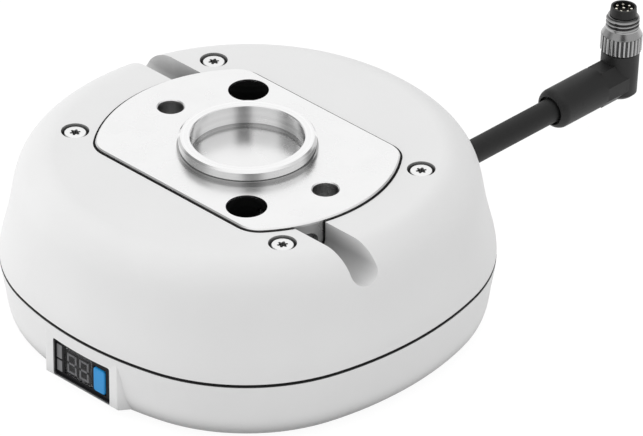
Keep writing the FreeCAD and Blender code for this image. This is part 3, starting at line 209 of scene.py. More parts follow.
def turned_surface(name, radius, height, polish_and_shade, body, replaced, origin=(0.0, 0.0, 0.0), lean=0.0):
    """Turns grids of radius and height in millimetres about an axis that leans towards +Y.

    A point is the radius times the cosine and sine of its angle, with its height, tilted about X by the
    lean. Both seams are joined: the last row meets the first, and the last column meets the first.
    """
    rows, columns = radius.shape
    angle = column_angles(columns)
    across, along = radius * np.cos(angle), radius * np.sin(angle)
    points = np.stack([across, along * math.cos(lean) + height * math.sin(lean),
                       height * math.cos(lean) - along * math.sin(lean)], axis=-1)
    points = points * MILLIMETRE + np.array(origin)
    corners = grid_corners(rows, columns)
    faces = np.stack([(i % rows) * columns + j % columns for i, j in corners], axis=-1).reshape(-1, 4)
    mesh = bpy.data.meshes.new(name)
    mesh.from_pydata(points.reshape(-1, 3).tolist(), [], faces.tolist())
    mesh.polygons.foreach_set("use_smooth", np.ones(len(faces), bool))
    round_about = mesh.uv_layers.new(name="turn")
    grid = np.stack([np.stack([j / columns, i / rows], axis=-1) for i, j in corners], axis=2)
    round_about.data.foreach_set("uv", grid.astype(np.float32).ravel())
    polish_shade_attribute = mesh.attributes.new("polish_and_shade", "FLOAT", "POINT")
    polish_shade_attribute.data.foreach_set("value", np.broadcast_to(polish_and_shade, radius.shape).astype(np.float32).ravel())
    piece = in_scene(name, mesh)
    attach(piece, body)
    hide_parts(replaced)
    print("turned:", name, rows, "rows,", columns, "columns")
    return piece

# %% [markdown]
# The centring ring stands in the robot flange's recess. Seen closely it has a low foot band, a fine
# groove above it, a bright wall with a chamfer, and a rounded bore. Each corner of its outline is a
# radius, a height and a polish: the wall is bright, while the darker foot, groove and lower bore are
# painted shade. The corners are softened by two hundredths of a millimetre, so that every edge catches a
# thin line of light.

# %% Centring ring
RING_EDGE, RING_COLUMNS = 0.02, 288
POINTS_PER_CORNER = 5

ring_corners = np.array([(13.15, -2.3, 0.6), (14.5, -2.3, 0.6), (14.5, -0.09, 0.6), (16.1, 0.0, 0.42),
                         (16.1, 0.72, 0.42), (15.6, 0.78, 0.35), (15.6, 0.9, 0.35), (15.72, 0.95, 1.0),
                         (15.72, 2.74, 1.0), (15.26, 3.2, 1.0), (13.15, 3.2, 1.0), (12.95, 3.0, 1.0),
                         (12.95, -1.4, 1.0), (13.15, -1.45, 0.4)])
ring_outline = soften(ring_corners[:, :2], RING_EDGE)
ring_polish_and_shade = np.repeat(ring_corners[:, 2], POINTS_PER_CORNER)[:, None]
ring_radius, ring_height = spread(ring_outline, RING_COLUMNS)
ring_piece = turned_surface("turned_ring", ring_radius, ring_height, ring_polish_and_shade,
                            "unit", "centring_ring")

# %% [markdown]
# The plug's collar is the nickel-plated ring that a hand turns: a grip with straight grooves, a cone,
# and a thread of one millimetre pitch. Its outline is softened like the ring's, and the thread gets
# many rows, so that the helix has a smooth flank. The first outline goes round the foot, the grip and
# the cone, and the last rows come back down through the bore.

# %% Collar outline
COLLAR_BORE, GRIP, GRIP_GROOVES, GROOVE = 3.01, 4.95, 28, 0.3
THREAD_FROM, THREAD_TO, THREAD, THREAD_CUT, THREAD_ROWS = 13.05, 16.05, 4.0, 0.5, 73
COLLAR_FOOT, GRIP_TOP, COLLAR_EDGE = 6.9, 11.25, 0.04

collar_outline = soften([(COLLAR_BORE, COLLAR_FOOT), (4.72, COLLAR_FOOT), (GRIP, 7.15), (GRIP, 11.15),
                         (4.8, 11.35), (THREAD, 12.8), (THREAD, THREAD_FROM)], COLLAR_EDGE)[3:-2]
thread_rows = straight_rows(THREAD, THREAD_FROM, THREAD_TO, THREAD_ROWS)
inside_rows = np.array([(3.3, THREAD_TO), (3.2, THREAD_TO), (COLLAR_BORE + 0.05, THREAD_TO),
                        (COLLAR_BORE, THREAD_TO - 0.05), (COLLAR_BORE, THREAD_TO - 0.2),
                        (COLLAR_BORE, 7.0), (COLLAR_BORE, 6.95), (COLLAR_BORE + 0.05, COLLAR_FOOT)])
collar_rows = np.concatenate([collar_outline, thread_rows, inside_rows])
print("collar outline:", len(collar_rows), "rows,", len(thread_rows), "of them in the thread")

# %% [markdown]
# Now the radius changes with the angle. A groove of the grip is a round cut: the radius falls to the
# grip's minus the half circle over the groove's width. The thread's cut follows the height minus the
# share of a turn, which makes a helix, fades in over its first half turn, and is chamfered at the end.
# The deeper a point is cut, the darker it is painted: painted shade in the thread's roots and the knurl's
# grooves.

# %% Collar knurl and thread
PLUG_AXIS, PLUG_LEAN = (0.0, 0.1234, CABLE_LEVEL), math.radians(4.0)
LEAD_IN, END_CUT, END_SLOPE = 0.5, 0.45, 0.9
COLUMNS_PER_GROOVE = 12

collar_columns = GRIP_GROOVES * COLUMNS_PER_GROOVE
angle = column_angles(collar_columns)
collar_radius, collar_height = spread(collar_rows, collar_columns)
groove_share = (angle * GRIP_GROOVES / (2 * math.pi)) % 1.0 - 0.5
groove_aside = groove_share * 2 * math.pi * GRIP / GRIP_GROOVES
groove_floor = GRIP - np.sqrt(np.maximum(GROOVE ** 2 - groove_aside ** 2, 0.0))
knurled = np.minimum(collar_radius, groove_floor[None, :])
in_thread = (collar_radius > THREAD - 0.1) & (collar_height >= THREAD_FROM - 0.01)
fade = np.clip((collar_height - THREAD_FROM) / LEAD_IN, 0.0, 1.0)
thread_share = fade * wave(collar_height - THREAD_FROM - angle[None, :] / (2 * math.pi))
thread_end = THREAD - END_CUT + (THREAD_TO - collar_height) * END_SLOPE
threaded = np.minimum(THREAD - THREAD_CUT * thread_share, thread_end)
below_cone = collar_height < GRIP_TOP
collar_radius = np.where(in_thread, threaded, np.where(below_cone, knurled, collar_radius))
in_grip = below_cone & (collar_radius > THREAD)
cut_share = np.where(in_thread, thread_share, np.where(in_grip, (GRIP - collar_radius) / GROOVE, 0.0))
# Deeper cuts are darker: painted shade in the thread's roots and the knurl's grooves.
collar_root_shade = 1.0 - np.clip(cut_share, 0.0, 1.0)
collar_piece = turned_surface("knurled_collar", collar_radius, collar_height, collar_root_shade,
                              "collar", "plug_collar", PLUG_AXIS, PLUG_LEAN)

# %% [markdown]
# The suction port is a brass insert in the underside, with a pipe thread for the cup's fitting. It is
# hidden in the photograph, but the part is looked at from all sides. The outline goes round the outside
# and the seats for the seal and the filter, and the thread's rows run down through the bore, where a
# cut adds to the radius instead of taking from it. The mouth opens in a cone.

# %% Suction port
PORT_FLOOR, PORT_CORE, PORT_ROOT, PORT_PITCH, PORT_FOOT = -40.1, 5.9, 6.55, 1.337, -44.0
PORT_MOUTH, PORT_RIM, PORT_EDGE, PORT_LEAD_IN = 0.75, 0.8, 0.05, 0.8
PORT_ROWS, PORT_COLUMNS = 80, 192

port_outline = soften([(PORT_CORE, PORT_FOOT), (9.95, PORT_FOOT), (9.95, -38.0), (8.05, -38.0),
                       (8.05, -39.25), (6.75, -39.25), (6.75, -38.0), (5.05, -38.0), (5.05, -39.2),
                       (3.0, -39.2), (3.0, PORT_FLOOR), (PORT_CORE, PORT_FLOOR)], PORT_EDGE)[3:-2]
bore_rows = straight_rows(PORT_CORE, PORT_FLOOR, PORT_FOOT, PORT_ROWS)
port_rows = np.concatenate([port_outline, bore_rows])
angle = column_angles(PORT_COLUMNS)
port_radius, port_height = spread(port_rows, PORT_COLUMNS)
in_thread = np.arange(len(port_rows))[:, None] >= len(port_outline)
fade = np.clip((PORT_FLOOR - port_height) / PORT_LEAD_IN, 0.0, 1.0)
turns = port_height / PORT_PITCH - angle[None, :] / (2 * math.pi)
cut_out = (PORT_ROOT - PORT_CORE) * fade * wave(turns)
mouth = np.maximum(PORT_MOUTH - (port_height - PORT_FOOT), 0.0)
port_radius = np.where(in_thread, PORT_CORE + np.maximum(cut_out, mouth), port_radius)
port_radius[0] = np.maximum(port_radius[0], PORT_CORE + PORT_RIM)
port_piece = turned_surface("threaded_port", port_radius, port_height, 1.0,
                            "unit", "vacuum_port")

# %% [markdown]
# A rubber seal fills the gap round the flange plate, and its black lip also stands in for the gap's shade.
# It sits low, so from above only its lip shows as a dark line. A curve with a bevel would do, but its
# corners are hard to hold, so the strip is a rectangular section carried along the plate's outline: an
# arc about the unit's axis, a corner, the straight side, a corner and an arc again. Each point of the
# outline is an arc's centre plus its radius times the outward direction, so an offset outwards only adds
# to the radius.

# %% Seal outline
PLATE_HALF, PLATE_END, PLATE_CORNER = 24.2, 34.7, 6.5
SEAL_NEAR, SEAL_FAR, SEAL_FOOT, SEAL_TOP, SEAL_EDGE = 0.05, 0.5, -9.0, -0.8, 0.05
CHANNEL_NEAR, CHANNEL_FAR = 9.1, 15.9

corner_y = PLATE_HALF - PLATE_CORNER
corner_x = math.sqrt((PLATE_END - PLATE_CORNER) ** 2 - corner_y ** 2)
corner_turn = math.atan2(corner_y, corner_x)
first = -math.asin(CHANNEL_NEAR / PLATE_END)
last = math.pi - math.asin(CHANNEL_FAR / PLATE_END)
straight = math.pi / 2
arcs = [(0.0, 0.0, PLATE_END, np.linspace(first, corner_turn, 48, endpoint=False)),
        (corner_x, corner_y, PLATE_CORNER, np.linspace(corner_turn, straight, 16)),
        (-corner_x, corner_y, PLATE_CORNER, np.linspace(straight, math.pi - corner_turn, 16, endpoint=False)),
        (0.0, 0.0, PLATE_END, np.linspace(math.pi - corner_turn, last, 24))]
seal_section = soften([(SEAL_NEAR, SEAL_FOOT), (SEAL_FAR, SEAL_FOOT), (SEAL_FAR, SEAL_TOP),
                       (SEAL_NEAR, SEAL_TOP)], SEAL_EDGE)
offset = seal_section[:, :1]
seal_x = np.concatenate([x + (radius + offset) * np.cos(way) for x, y, radius, way in arcs], axis=1)
seal_y = np.concatenate([y + (radius + offset) * np.sin(way) for x, y, radius, way in arcs], axis=1)
seal_z = np.broadcast_to(seal_section[:, 1:], seal_x.shape)
rows, columns = seal_x.shape
print("seal outline:", rows, "rows,", columns, "columns")

# %% [markdown]
# One strip runs from one key channel to the other, and the second is the same strip half a turn on, so
# both channels stay free. Flat caps close the ends. A cap's corners run against the edges of the faces
# beside it, which keeps all the faces looking outwards.

# %% Seal strips
strip = np.stack([seal_x, seal_y, seal_z], axis=-1).reshape(-1, 3) * MILLIMETRE
seal_points = np.concatenate([strip, strip * np.array([-1.0, -1.0, 1.0])])
corners = grid_corners(rows, columns - 1)
sides = np.stack([(i % rows) * columns + j for i, j in corners], axis=-1).reshape(-1, 4)
start_cap = np.arange(rows) * columns
end_cap = start_cap[::-1] + columns - 1
caps = np.stack([start_cap, end_cap])
groups_of_faces = [sides, caps, sides + len(strip), caps + len(strip)]
seal_faces = [face for group in groups_of_faces for face in group.tolist()]
seal_mesh = bpy.data.meshes.new("seal_lip")
seal_mesh.from_pydata(seal_points.tolist(), [], seal_faces)
# The seal's black lip also stands in for the shade of the gap round the plate.
seal_piece = in_scene("seal_lip", seal_mesh)
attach(seal_piece, "unit")
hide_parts("plate_seal")
print("seal lip:", len(seal_faces), "faces in two strips")

# %% [markdown]
# Finishes are built from node groups, so that one effect can serve many materials. They could be joined
# by hand in the shader editor, but a script repeats them exactly. A small helper adds a node, sets its
# options and joins its inputs, whether they are numbers or other sockets, and a few more give the usual
# steps a name.

# %% Node helpers
def add(tree, kind, inputs=None, **options):
    """Adds a node to a tree, sets its options, and gives each named input a value or a link."""
    made = tree.nodes.new(kind)
    for name, value in options.items():
        setattr(made, name, value)
    for name, value in (inputs or {}).items():
        if isinstance(value, bpy.types.NodeSocket):
            tree.links.new(value, made.inputs[name])
        else:
            made.inputs[name].default_value = value
    return made


def maths(tree, operation, first, second=0.0, third=0.0):
    """One step of arithmetic on values or sockets."""
    return add(tree, "ShaderNodeMath", {0: first, 1: second, 2: third}, operation=operation).outputs[0]


def stretch(tree, value, low, high, to_low, to_high):
    """Maps a range of values to another: its share of the range, held from 0 to 1 and eased at both ends."""
    return add(tree, "ShaderNodeMapRange",
               {"Value": value, "From Min": low, "From Max": high, "To Min": to_low, "To Max": to_high},
               interpolation_type="SMOOTHSTEP").outputs["Result"]


def blend(tree, share, first, second):
    """Mixes two values: the first times (1 - share), plus the second times the share."""
    return add(tree, "ShaderNodeMix", {0: share, 2: first, 3: second}).outputs[0]


def tint(tree, share, first, second):
    """Mixes two colours in the same way, on the Mix node's own sockets for colours."""
    return add(tree, "ShaderNodeMix", {0: share, 6: first, 7: second}, data_type="RGBA").outputs[2]

# %% [markdown]
# A group's sockets are made on its interface, by name. Every pattern here is read in Object
# coordinates, which are metres on the part itself, so a grain of a fifth of a millimetre is written as
# such.

# %% Group helpers
def new_group(name, inputs, outputs):
    """Starts a shader node group with named value or vector inputs and value outputs."""
    tree = bpy.data.node_groups.new(name, "ShaderNodeTree")
    kinds = {float: "NodeSocketFloat", tuple: "NodeSocketVector"}
    for socket, value in inputs.items():
        made = tree.interface.new_socket(socket, in_out="INPUT", socket_type=kinds[type(value)])
        made.default_value = value
    for socket in outputs:
        tree.interface.new_socket(socket, in_out="OUTPUT", socket_type="NodeSocketFloat")
    return tree, add(tree, "NodeGroupInput").outputs, add(tree, "NodeGroupOutput")


def grouped(tree, group, **values):
    """Places a node group in a material with its own values."""
    return add(tree, "ShaderNodeGroup", values, node_tree=group).outputs


def object_place(tree):
    """Where a point lies on the object, in metres."""
    return add(tree, "ShaderNodeTexCoord").outputs["Object"]

# %% [markdown]
# Moulded plastic copies the spark-eroded skin of its mould: tiny, even pits. An image of a grain would
# repeat and stretch, so the grain group joins a fine noise with rounded cells. Its height goes to a
# bump, and a slow noise gives the tone that varies colour and roughness.

# %% Group: moulded grain
PIT_SHARE, SLOW_SHARE = 0.6, 0.012
grain, taken, given = new_group("moulded grain", {"Size": 0.0003}, ["Height", "Tone"])
place = object_place(grain)
per_metre = maths(grain, "DIVIDE", 1.0, taken["Size"])
pits = add(grain, "ShaderNodeTexVoronoi", {"Vector": place, "Scale": per_metre}, feature="SMOOTH_F1")
fine = add(grain, "ShaderNodeTexNoise", {"Vector": place, "Scale": per_metre, "Detail": 3.0})
slow = add(grain, "ShaderNodeTexNoise",
           {"Vector": place, "Scale": maths(grain, "MULTIPLY", per_metre, SLOW_SHARE), "Detail": 4.0})
pitted = maths(grain, "MULTIPLY", pits.outputs["Distance"], PIT_SHARE)
grain.links.new(maths(grain, "ADD", pitted, fine.outputs["Fac"]), given.inputs["Height"])
grain.links.new(slow.outputs["Fac"], given.inputs["Tone"])
print("group:", grain.name)

# %% [markdown]
# A turned part carries the tool's fine rings. Radius plus height makes one coordinate that draws
# circles on a face and rings on a wall, and a one-dimensional noise along it never repeats, as a wave
# texture would.

# %% Group: turned rings
BAND_SHARE = 0.13
rings, taken, given = new_group("turned rings", {"Centre": (0.0, 0.0, 0.0), "Pitch": 0.0002},
                                ["Height", "Tone"])
place = object_place(rings)
offset = add(rings, "ShaderNodeVectorMath", {0: place, 1: taken["Centre"]}, operation="SUBTRACT")
parts = add(rings, "ShaderNodeSeparateXYZ", {0: offset.outputs[0]}).outputs
square_x = maths(rings, "MULTIPLY", parts[0], parts[0])
square_y = maths(rings, "MULTIPLY", parts[1], parts[1])
reach = maths(rings, "POWER", maths(rings, "ADD", square_x, square_y), 0.5)
feed = maths(rings, "DIVIDE", maths(rings, "ADD", reach, parts[2]), taken["Pitch"])
cuts = add(rings, "ShaderNodeTexNoise", {"W": feed, "Scale": 1.0, "Detail": 2.0}, noise_dimensions="1D")
bands = add(rings, "ShaderNodeTexNoise", {"W": maths(rings, "MULTIPLY", feed, BAND_SHARE), "Scale": 1.0},
            noise_dimensions="1D")
rings.links.new(cuts.outputs["Fac"], given.inputs["Height"])
rings.links.new(bands.outputs["Fac"], given.inputs["Tone"])
print("group:", rings.name)

# %% [markdown]
# Bead-blasted aluminium is a field of tiny dents with a faint sparkle. A plain rough metal would look
# like grey paint, so two patterns of different size give the dents, and a slow noise gives the cloudy
# tone of a blasted plate.

# %% Group: blasted dents
DENT_SHARE, DENT_DEPTH, CLOUD_SHARE = 0.6, 0.5, 0.02
dents, taken, given = new_group("blasted dents", {"Size": 0.0002}, ["Height", "Tone"])
place = object_place(dents)
per_metre = maths(dents, "DIVIDE", 1.0, taken["Size"])
small = add(dents, "ShaderNodeTexNoise", {"Vector": place, "Scale": per_metre, "Detail": 2.0})
round_dents = add(dents, "ShaderNodeTexVoronoi",
                  {"Vector": place, "Scale": maths(dents, "MULTIPLY", per_metre, DENT_SHARE)})
cloud = add(dents, "ShaderNodeTexNoise",
            {"Vector": place, "Scale": maths(dents, "MULTIPLY", per_metre, CLOUD_SHARE), "Detail": 3.0})
hollows = maths(dents, "MULTIPLY", round_dents.outputs["Distance"], DENT_DEPTH)
dents.links.new(maths(dents, "ADD", small.outputs["Fac"], hollows), given.inputs["Height"])
dents.links.new(cloud.outputs["Fac"], given.inputs["Tone"])
print("group:", dents.name)

# %% [markdown]
# Handling leaves soft smears and a few hair-thin scratches. Painted on the colour they would look like
# dirt, so the marks group gives two masks that a material adds to its roughness: the marks only show
# where light glances off. A scratch is a noise that is drawn out along one slanting direction.

# %% Group: handling marks
SCRATCH_TURN, SCRATCH_DRAW = (0.3, 0.2, 0.7), (1.0, 14.0, 6.0)
SMEAR_RANGE, SCRATCH_RANGE = (0.42, 0.68), (0.66, 0.74)
marks, taken, given = new_group("handling marks", {"Size": 0.02}, ["Smear", "Scratch"])
place = object_place(marks)
per_metre = maths(marks, "DIVIDE", 1.0, taken["Size"])
smear = add(marks, "ShaderNodeTexNoise",
            {"Vector": place, "Scale": per_metre, "Detail": 5.0, "Distortion": 0.6})
slanting = add(marks, "ShaderNodeMapping",
               {"Vector": place, "Rotation": SCRATCH_TURN, "Scale": SCRATCH_DRAW})
hair = add(marks, "ShaderNodeTexNoise",
           {"Vector": slanting.outputs[0], "Scale": per_metre, "Detail": 6.0})
marks.links.new(stretch(marks, smear.outputs["Fac"], *SMEAR_RANGE, 0.0, 1.0), given.inputs["Smear"])
marks.links.new(stretch(marks, hair.outputs["Fac"], *SCRATCH_RANGE, 0.0, 1.0), given.inputs["Scratch"])
print("group:", marks.name)

# %% [markdown]
# Metal is only bright where it was machined last, and some marks here are painted shade. Two groups give
# a mask that is 1 where a finish keeps its colour and 0 where it is darkened. The first reads the polish
# and painted shade that a turned piece carries. The second is for CAD nodes, which carry nothing: it
# darkens what lies between two heights and outside a core about the unit's axis, such as the side of the
# flange plate, which is duller metal with painted shade, or a screw's head below its edge, which is
# painted shade.

# %% Groups: polish with painted shade, and height band
BAND_BELOW, BAND_ABOVE = 0.0002, 0.0001
polish_shade_group, taken, given = new_group("lathe shine and shade", {}, ["Keep"])
polish_shade_attribute = add(polish_shade_group, "ShaderNodeAttribute", attribute_name="polish_and_shade")
polish_shade_group.links.new(polish_shade_attribute.outputs["Fac"], given.inputs["Keep"])

band, taken, given = new_group("height band", {"Low": -0.02, "High": 0.0, "Core": 0.0}, ["Keep"])
place = object_place(band)
level_place = add(band, "ShaderNodeVectorMath", {0: place, 1: (1.0, 1.0, 0.0)}, operation="MULTIPLY")
reach = add(band, "ShaderNodeVectorMath", {0: level_place.outputs[0]}, operation="LENGTH").outputs["Value"]
height = add(band, "ShaderNodeSeparateXYZ", {0: place}).outputs[2]
above = stretch(band, height, maths(band, "SUBTRACT", taken["High"], BAND_BELOW),
                maths(band, "ADD", taken["High"], BAND_ABOVE), 0.0, 1.0)
elsewhere = maths(band, "MAXIMUM", maths(band, "LESS_THAN", height, taken["Low"]),
                  maths(band, "LESS_THAN", reach, taken["Core"]))
band.links.new(maths(band, "MAXIMUM", above, elsewhere), given.inputs["Keep"])
print("groups:", polish_shade_group.name, "and", band.name)

# %% [markdown]
# Every finish follows one pattern. A pattern group drives two tones of the colour, the roughness and a
# bump in metres of depth, and the marks group adds wear. What is the same all over the surface, such as
# the index of refraction or the specular level, sits on the shader's own socket.

# %% Finish builder
TONE_RANGE = (0.3, 0.7)
MARKS_SIZE, SCRATCH_WEAR = 0.02, 1.5


def finish(name, colour, pattern, settings, rough=(0.4, 0.5), tone=0.06, depth=0.00002,
           metal=0.0, wear=0.06, **sockets):
    """Builds a material from a pattern group.

    The colour goes from 1 - tone to 1 + tone of itself, the roughness from the first value to the second,
    plus the wear times the marks, and the pattern's height times the depth makes the bump.
    """
    made = bpy.data.materials.new(name)
    made.use_nodes = True
    tree = made.node_tree
    shader = tree.nodes["Principled BSDF"]
    surface = grouped(tree, pattern, **settings)
    worn = grouped(tree, marks, Size=MARKS_SIZE)
    dark = tuple(part * (1.0 - tone) for part in colour) + (1.0,)
    light = tuple(min(part * (1.0 + tone), 1.0) for part in colour) + (1.0,)
    share = stretch(tree, surface["Tone"], *TONE_RANGE, 0.0, 1.0)
    tree.links.new(tint(tree, share, dark, light), shader.inputs["Base Color"])
    base_rough = stretch(tree, surface["Tone"], *TONE_RANGE, *rough)
    smeared = maths(tree, "MULTIPLY_ADD", worn["Smear"], wear, base_rough)
    scratched = maths(tree, "MULTIPLY_ADD", worn["Scratch"], wear * SCRATCH_WEAR, smeared)
    tree.links.new(scratched, shader.inputs["Roughness"])
    bump = add(tree, "ShaderNodeBump", {"Height": surface["Height"], "Strength": 1.0, "Distance": depth})
    tree.links.new(bump.outputs[0], shader.inputs["Normal"])
    shader.inputs["Metallic"].default_value = metal
    for socket, value in sockets.items():
        shader.inputs[socket.replace("_", " ")].default_value = value
    return made

# %% [markdown]
# Some finishes need one step more. A turned face draws its highlights out across the tool's rings,
# which is what an anisotropic shader does about a tangent: here the tangent of the piece's own map.
# Darkening mixes the colour with a darker root tone by a mask: the polish with its painted shade, the
# height band, or how open a place is. The last one paints shade into the shells, whose narrow channels
# and screw seats hold the shade of the photograph: an Ambient Occlusion node measures the share of free
# directions, and it depends on the shape alone, not on the view.

# %% Finish helpers
CLOSED, OPEN = 0.25, 0.95


def stretch_highlights(made, amount):
    """Draws a turned piece's highlights out across its rings, with the tangent of its own turn map."""
    tree = made.node_tree
    shader = tree.nodes["Principled BSDF"]
    shader.inputs["Anisotropic"].default_value = amount
    about = add(tree, "ShaderNodeTangent", direction_type="UV_MAP", uv_map="turn")
    tree.links.new(about.outputs[0], shader.inputs["Tangent"])


def darken_by(made, keep, root):
    """Mixes a colour with a darker root for duller metal and painted shade: colour times keep, plus root
    times (1 - keep).
    """
    tree = made.node_tree
    colour = tree.nodes["Principled BSDF"].inputs["Base Color"]
    bright = colour.links[0].from_socket
    tree.links.new(tint(tree, keep, (root, root, root, 1.0), bright), colour)


def paint_root_shade(made, root):
    """Paints shade into a turned piece's roots and grooves, by the polish and shade share that the piece
    carries.
    """
    darken_by(made, grouped(made.node_tree, polish_shade_group)["Keep"], root)


def dull_and_shade_between(made, low, high, core, root):
    """Darkens what lies between two heights and outside a core radius about the unit's axis, all in metres:
    painted shade, and on the plate's side duller metal too.
    """
    darken_by(made, grouped(made.node_tree, band, Low=low, High=high, Core=core)["Keep"], root)


def paint_hollow_shade(made, reach, root):
    """Paints shade into narrow hollows, by the share of directions that are open within a reach in metres."""
    tree = made.node_tree
    open_share = add(tree, "ShaderNodeAmbientOcclusion", {"Distance": reach}, samples=16).outputs["AO"]
    darken_by(made, stretch(tree, open_share, CLOSED, OPEN, 0.0, 1.0), root)

# %% [markdown]
# Every CAD node names a material slot in the part's record. Each node could be given its material by
# hand, but one call per slot dresses all the nodes that wear it, so nodes of one material always match.

# %% Dressing
materials = {}


def dress(slot, made):
    """Gives a finish to every CAD node of a material slot."""
    materials[slot] = made
    wearers = [row["node"] for row in frame["record"]["subparts"] if row["material_slot"] == slot]
    for node in wearers:
        nodes[node].data.materials[0] = made
    print("finish:", slot, "on", ", ".join(wearers))

# %% [markdown]
# The shells are the largest surfaces: white, satin, and so finely pitted that the grain only softens
# the highlight. A pure white would clip, so the colour is written as the plastic's own eight tenths.
# The channels get painted shade over nine millimetres, and the screw seats, which are narrower, over two.

# %% Shells
dress("housing_white", finish("housing white", (0.80, 0.80, 0.80), grain, {"Size": 0.00022},
                              rough=(0.42, 0.5), tone=0.01, depth=0.000006, wear=0.04))
# Painted shade in the channels and the screw seats, from an Ambient Occlusion mask.
paint_hollow_shade(materials["housing_white"], 0.009, 0.37)
paint_hollow_shade(materials["housing_white"], 0.0022, 0.1)

# %% [markdown]
# Black plastic and rubber are never quite black, and differ by their gloss: the seals are matt, the
# plug and the cable have a soft shine, and the display's bezel drinks most of the light. They share the
# moulded grain with the shells, each at its own size, and a lower specular level keeps them dark under
# the white studio.

# %% Seals, cable and plug
dress("seal_black", finish("seal black", (0.012, 0.012, 0.012), grain, {"Size": 0.0004}, rough=(0.6, 0.72),
                           tone=0.15, depth=0.00001, Specular_IOR_Level=0.15))
dress("plug_black", finish("plug black", (0.011, 0.011, 0.011), grain, {"Size": 0.0003}, rough=(0.42, 0.55),
                           tone=0.12, depth=0.000012, Specular_IOR_Level=0.4))
dress("cable_black", finish("cable black", (0.014, 0.014, 0.014), grain, {"Size": 0.0005}, rough=(0.48, 0.6),
                            tone=0.12, depth=0.00001, Specular_IOR_Level=0.35))
lead.data.materials.append(materials["cable_black"])
seal_piece.data.materials.append(materials["seal_black"])

# %% [markdown]
# The display unit is a dark frame with two unlit digits, two unlit lamps and a blue button. Unlit
# segments are pale grey plastic, so they need no emission: the window in front of them takes their
# brightness down.

# %% Display and button
dress("bezel_charcoal", finish("bezel charcoal", (0.011, 0.011, 0.012), grain, {"Size": 0.00025},
                               rough=(0.4, 0.5), tone=0.08, depth=0.000008, Specular_IOR_Level=0.1))
dress("digit_module", finish("digit module", (0.012, 0.012, 0.012), grain, {"Size": 0.0003},
                             rough=(0.45, 0.6), tone=0.1, depth=0.000004, Specular_IOR_Level=0.15))
dress("digit_grey", finish("digit grey", (0.24, 0.24, 0.245), grain, {"Size": 0.0004},
                           rough=(0.35, 0.45), tone=0.06, depth=0.000003))
dress("lamp_grey", finish("lamp grey", (0.17, 0.17, 0.175), grain, {"Size": 0.0004},
                          rough=(0.25, 0.35), tone=0.08, depth=0.000004))
dress("button_blue", finish("button blue", (0.004, 0.26, 0.62), grain, {"Size": 0.00025},
                            rough=(0.32, 0.4), tone=0.06, depth=0.000005))

# %% [markdown]
# The display's window is a thin sheet of smoked plastic. A half-transparent colour would lie flat on
# the digits, so it is a transmitting shader with a grey colour and a low index of refraction, and only
# its roughness and a faint bump vary.

# %% Window
dress("lens_smoke", finish("lens smoke", (0.8, 0.8, 0.81), grain, {"Size": 0.0006}, rough=(0.03, 0.06),
                           tone=0.05, depth=0.0000005, wear=0.05, Transmission_Weight=1.0, IOR=1.15))

# %% [markdown]
# What the housing hides gets finishes too, because a shelf part may be opened up: a grey pump, a rubber
# diaphragm, green boards, black connectors, and below the steel, aluminium and copper of the works.

# %% Hidden plastics and metals
dress("part_black", finish("part black", (0.015, 0.015, 0.015), grain, {"Size": 0.0003},
                           Specular_IOR_Level=0.3))
dress("pump_grey", finish("pump grey", (0.2, 0.21, 0.22), grain, {"Size": 0.0003}))
dress("diaphragm_rubber", finish("diaphragm rubber", (0.02, 0.02, 0.02), grain, {"Size": 0.0004},
                                 rough=(0.6, 0.75)))
dress("board_green", finish("board green", (0.02, 0.16, 0.07), grain, {"Size": 0.0008}, rough=(0.25, 0.35)))
dress("manifold_metal", finish("manifold metal", (0.66, 0.67, 0.69), dents, {"Size": 0.0003}, metal=1.0))
dress("post_steel", finish("post steel", (0.6, 0.61, 0.63), dents, {"Size": 0.0003}, metal=1.0))
dress("motor_steel", finish("motor steel", (0.5, 0.5, 0.52), dents, {"Size": 0.0003}, metal=1.0))
dress("coil_copper", finish("coil copper", (0.5, 0.2, 0.08), rings, {"Pitch": 0.0003}, depth=0.00005,
                            metal=0.9))

# %% [markdown]
# The flange plate is blasted aluminium, bright on its face and duller on its side, where the darker colour
# is partly painted shade. The base plate below is the same metal with a coarser blast. The ring is turned:
# its fine rings draw the highlights out, and its foot and groove get painted shade from the polish that it
# carries.

# %% Plates and ring
dress("plate_metal", finish("plate metal", (0.93, 0.93, 0.93), dents, {"Size": 0.00018}, rough=(0.26, 0.29),
                            tone=0.015, depth=0.0000018, metal=1.0, wear=0.02))
# The plate's side below its top edge is darker: duller metal, and painted shade in the holes and on the
# channels' end walls.
dull_and_shade_between(materials["plate_metal"], -0.02, -0.0007, 0.0134, 0.66)
dress("base_metal", finish("base metal", (0.74, 0.75, 0.77), dents, {"Size": 0.0002}, rough=(0.36, 0.46),
                           tone=0.03, depth=0.000008, metal=1.0))
dress("ring_metal", finish("ring metal", (0.93, 0.93, 0.93), rings, {"Pitch": 0.00012}, rough=(0.09, 0.13),
                           tone=0.03, depth=0.0000012, metal=1.0))
stretch_highlights(materials["ring_metal"], 0.4)
# Painted shade on the ring's foot, groove and lower bore, from the share that the ring carries.
paint_root_shade(materials["ring_metal"], 0.05)
ring_piece.data.materials.append(materials["ring_metal"])

# %% [markdown]
# The small steel parts follow. The pin bushes are blackened, the set screws are dark, and the housing
# screws are bright on top. One metal for all of them would lose the order of tones that the photograph
# shows, so each has its own, and the screw heads get painted shade below their edge.

# %% Bushes and screws
dress("bush_dark", finish("bush dark", (0.02, 0.02, 0.02), rings, {"Pitch": 0.0002}, rough=(0.35, 0.45),
                          tone=0.2, depth=0.000006, metal=0.6))
dress("set_screw_dark", finish("set screw dark", (0.3, 0.3, 0.31), dents, {"Size": 0.0003}, rough=(0.35, 0.5),
                               tone=0.15, metal=0.9))
dress("screw_bright", finish("screw bright", (0.93, 0.93, 0.93), dents, {"Size": 0.0002}, rough=(0.25, 0.34),
                             tone=0.03, depth=0.000005, metal=1.0))
# Painted shade on the screw heads below their edge, in the sockets and the seats.
dull_and_shade_between(materials["screw_bright"], -0.02, -0.0013, 0.0, 0.32)
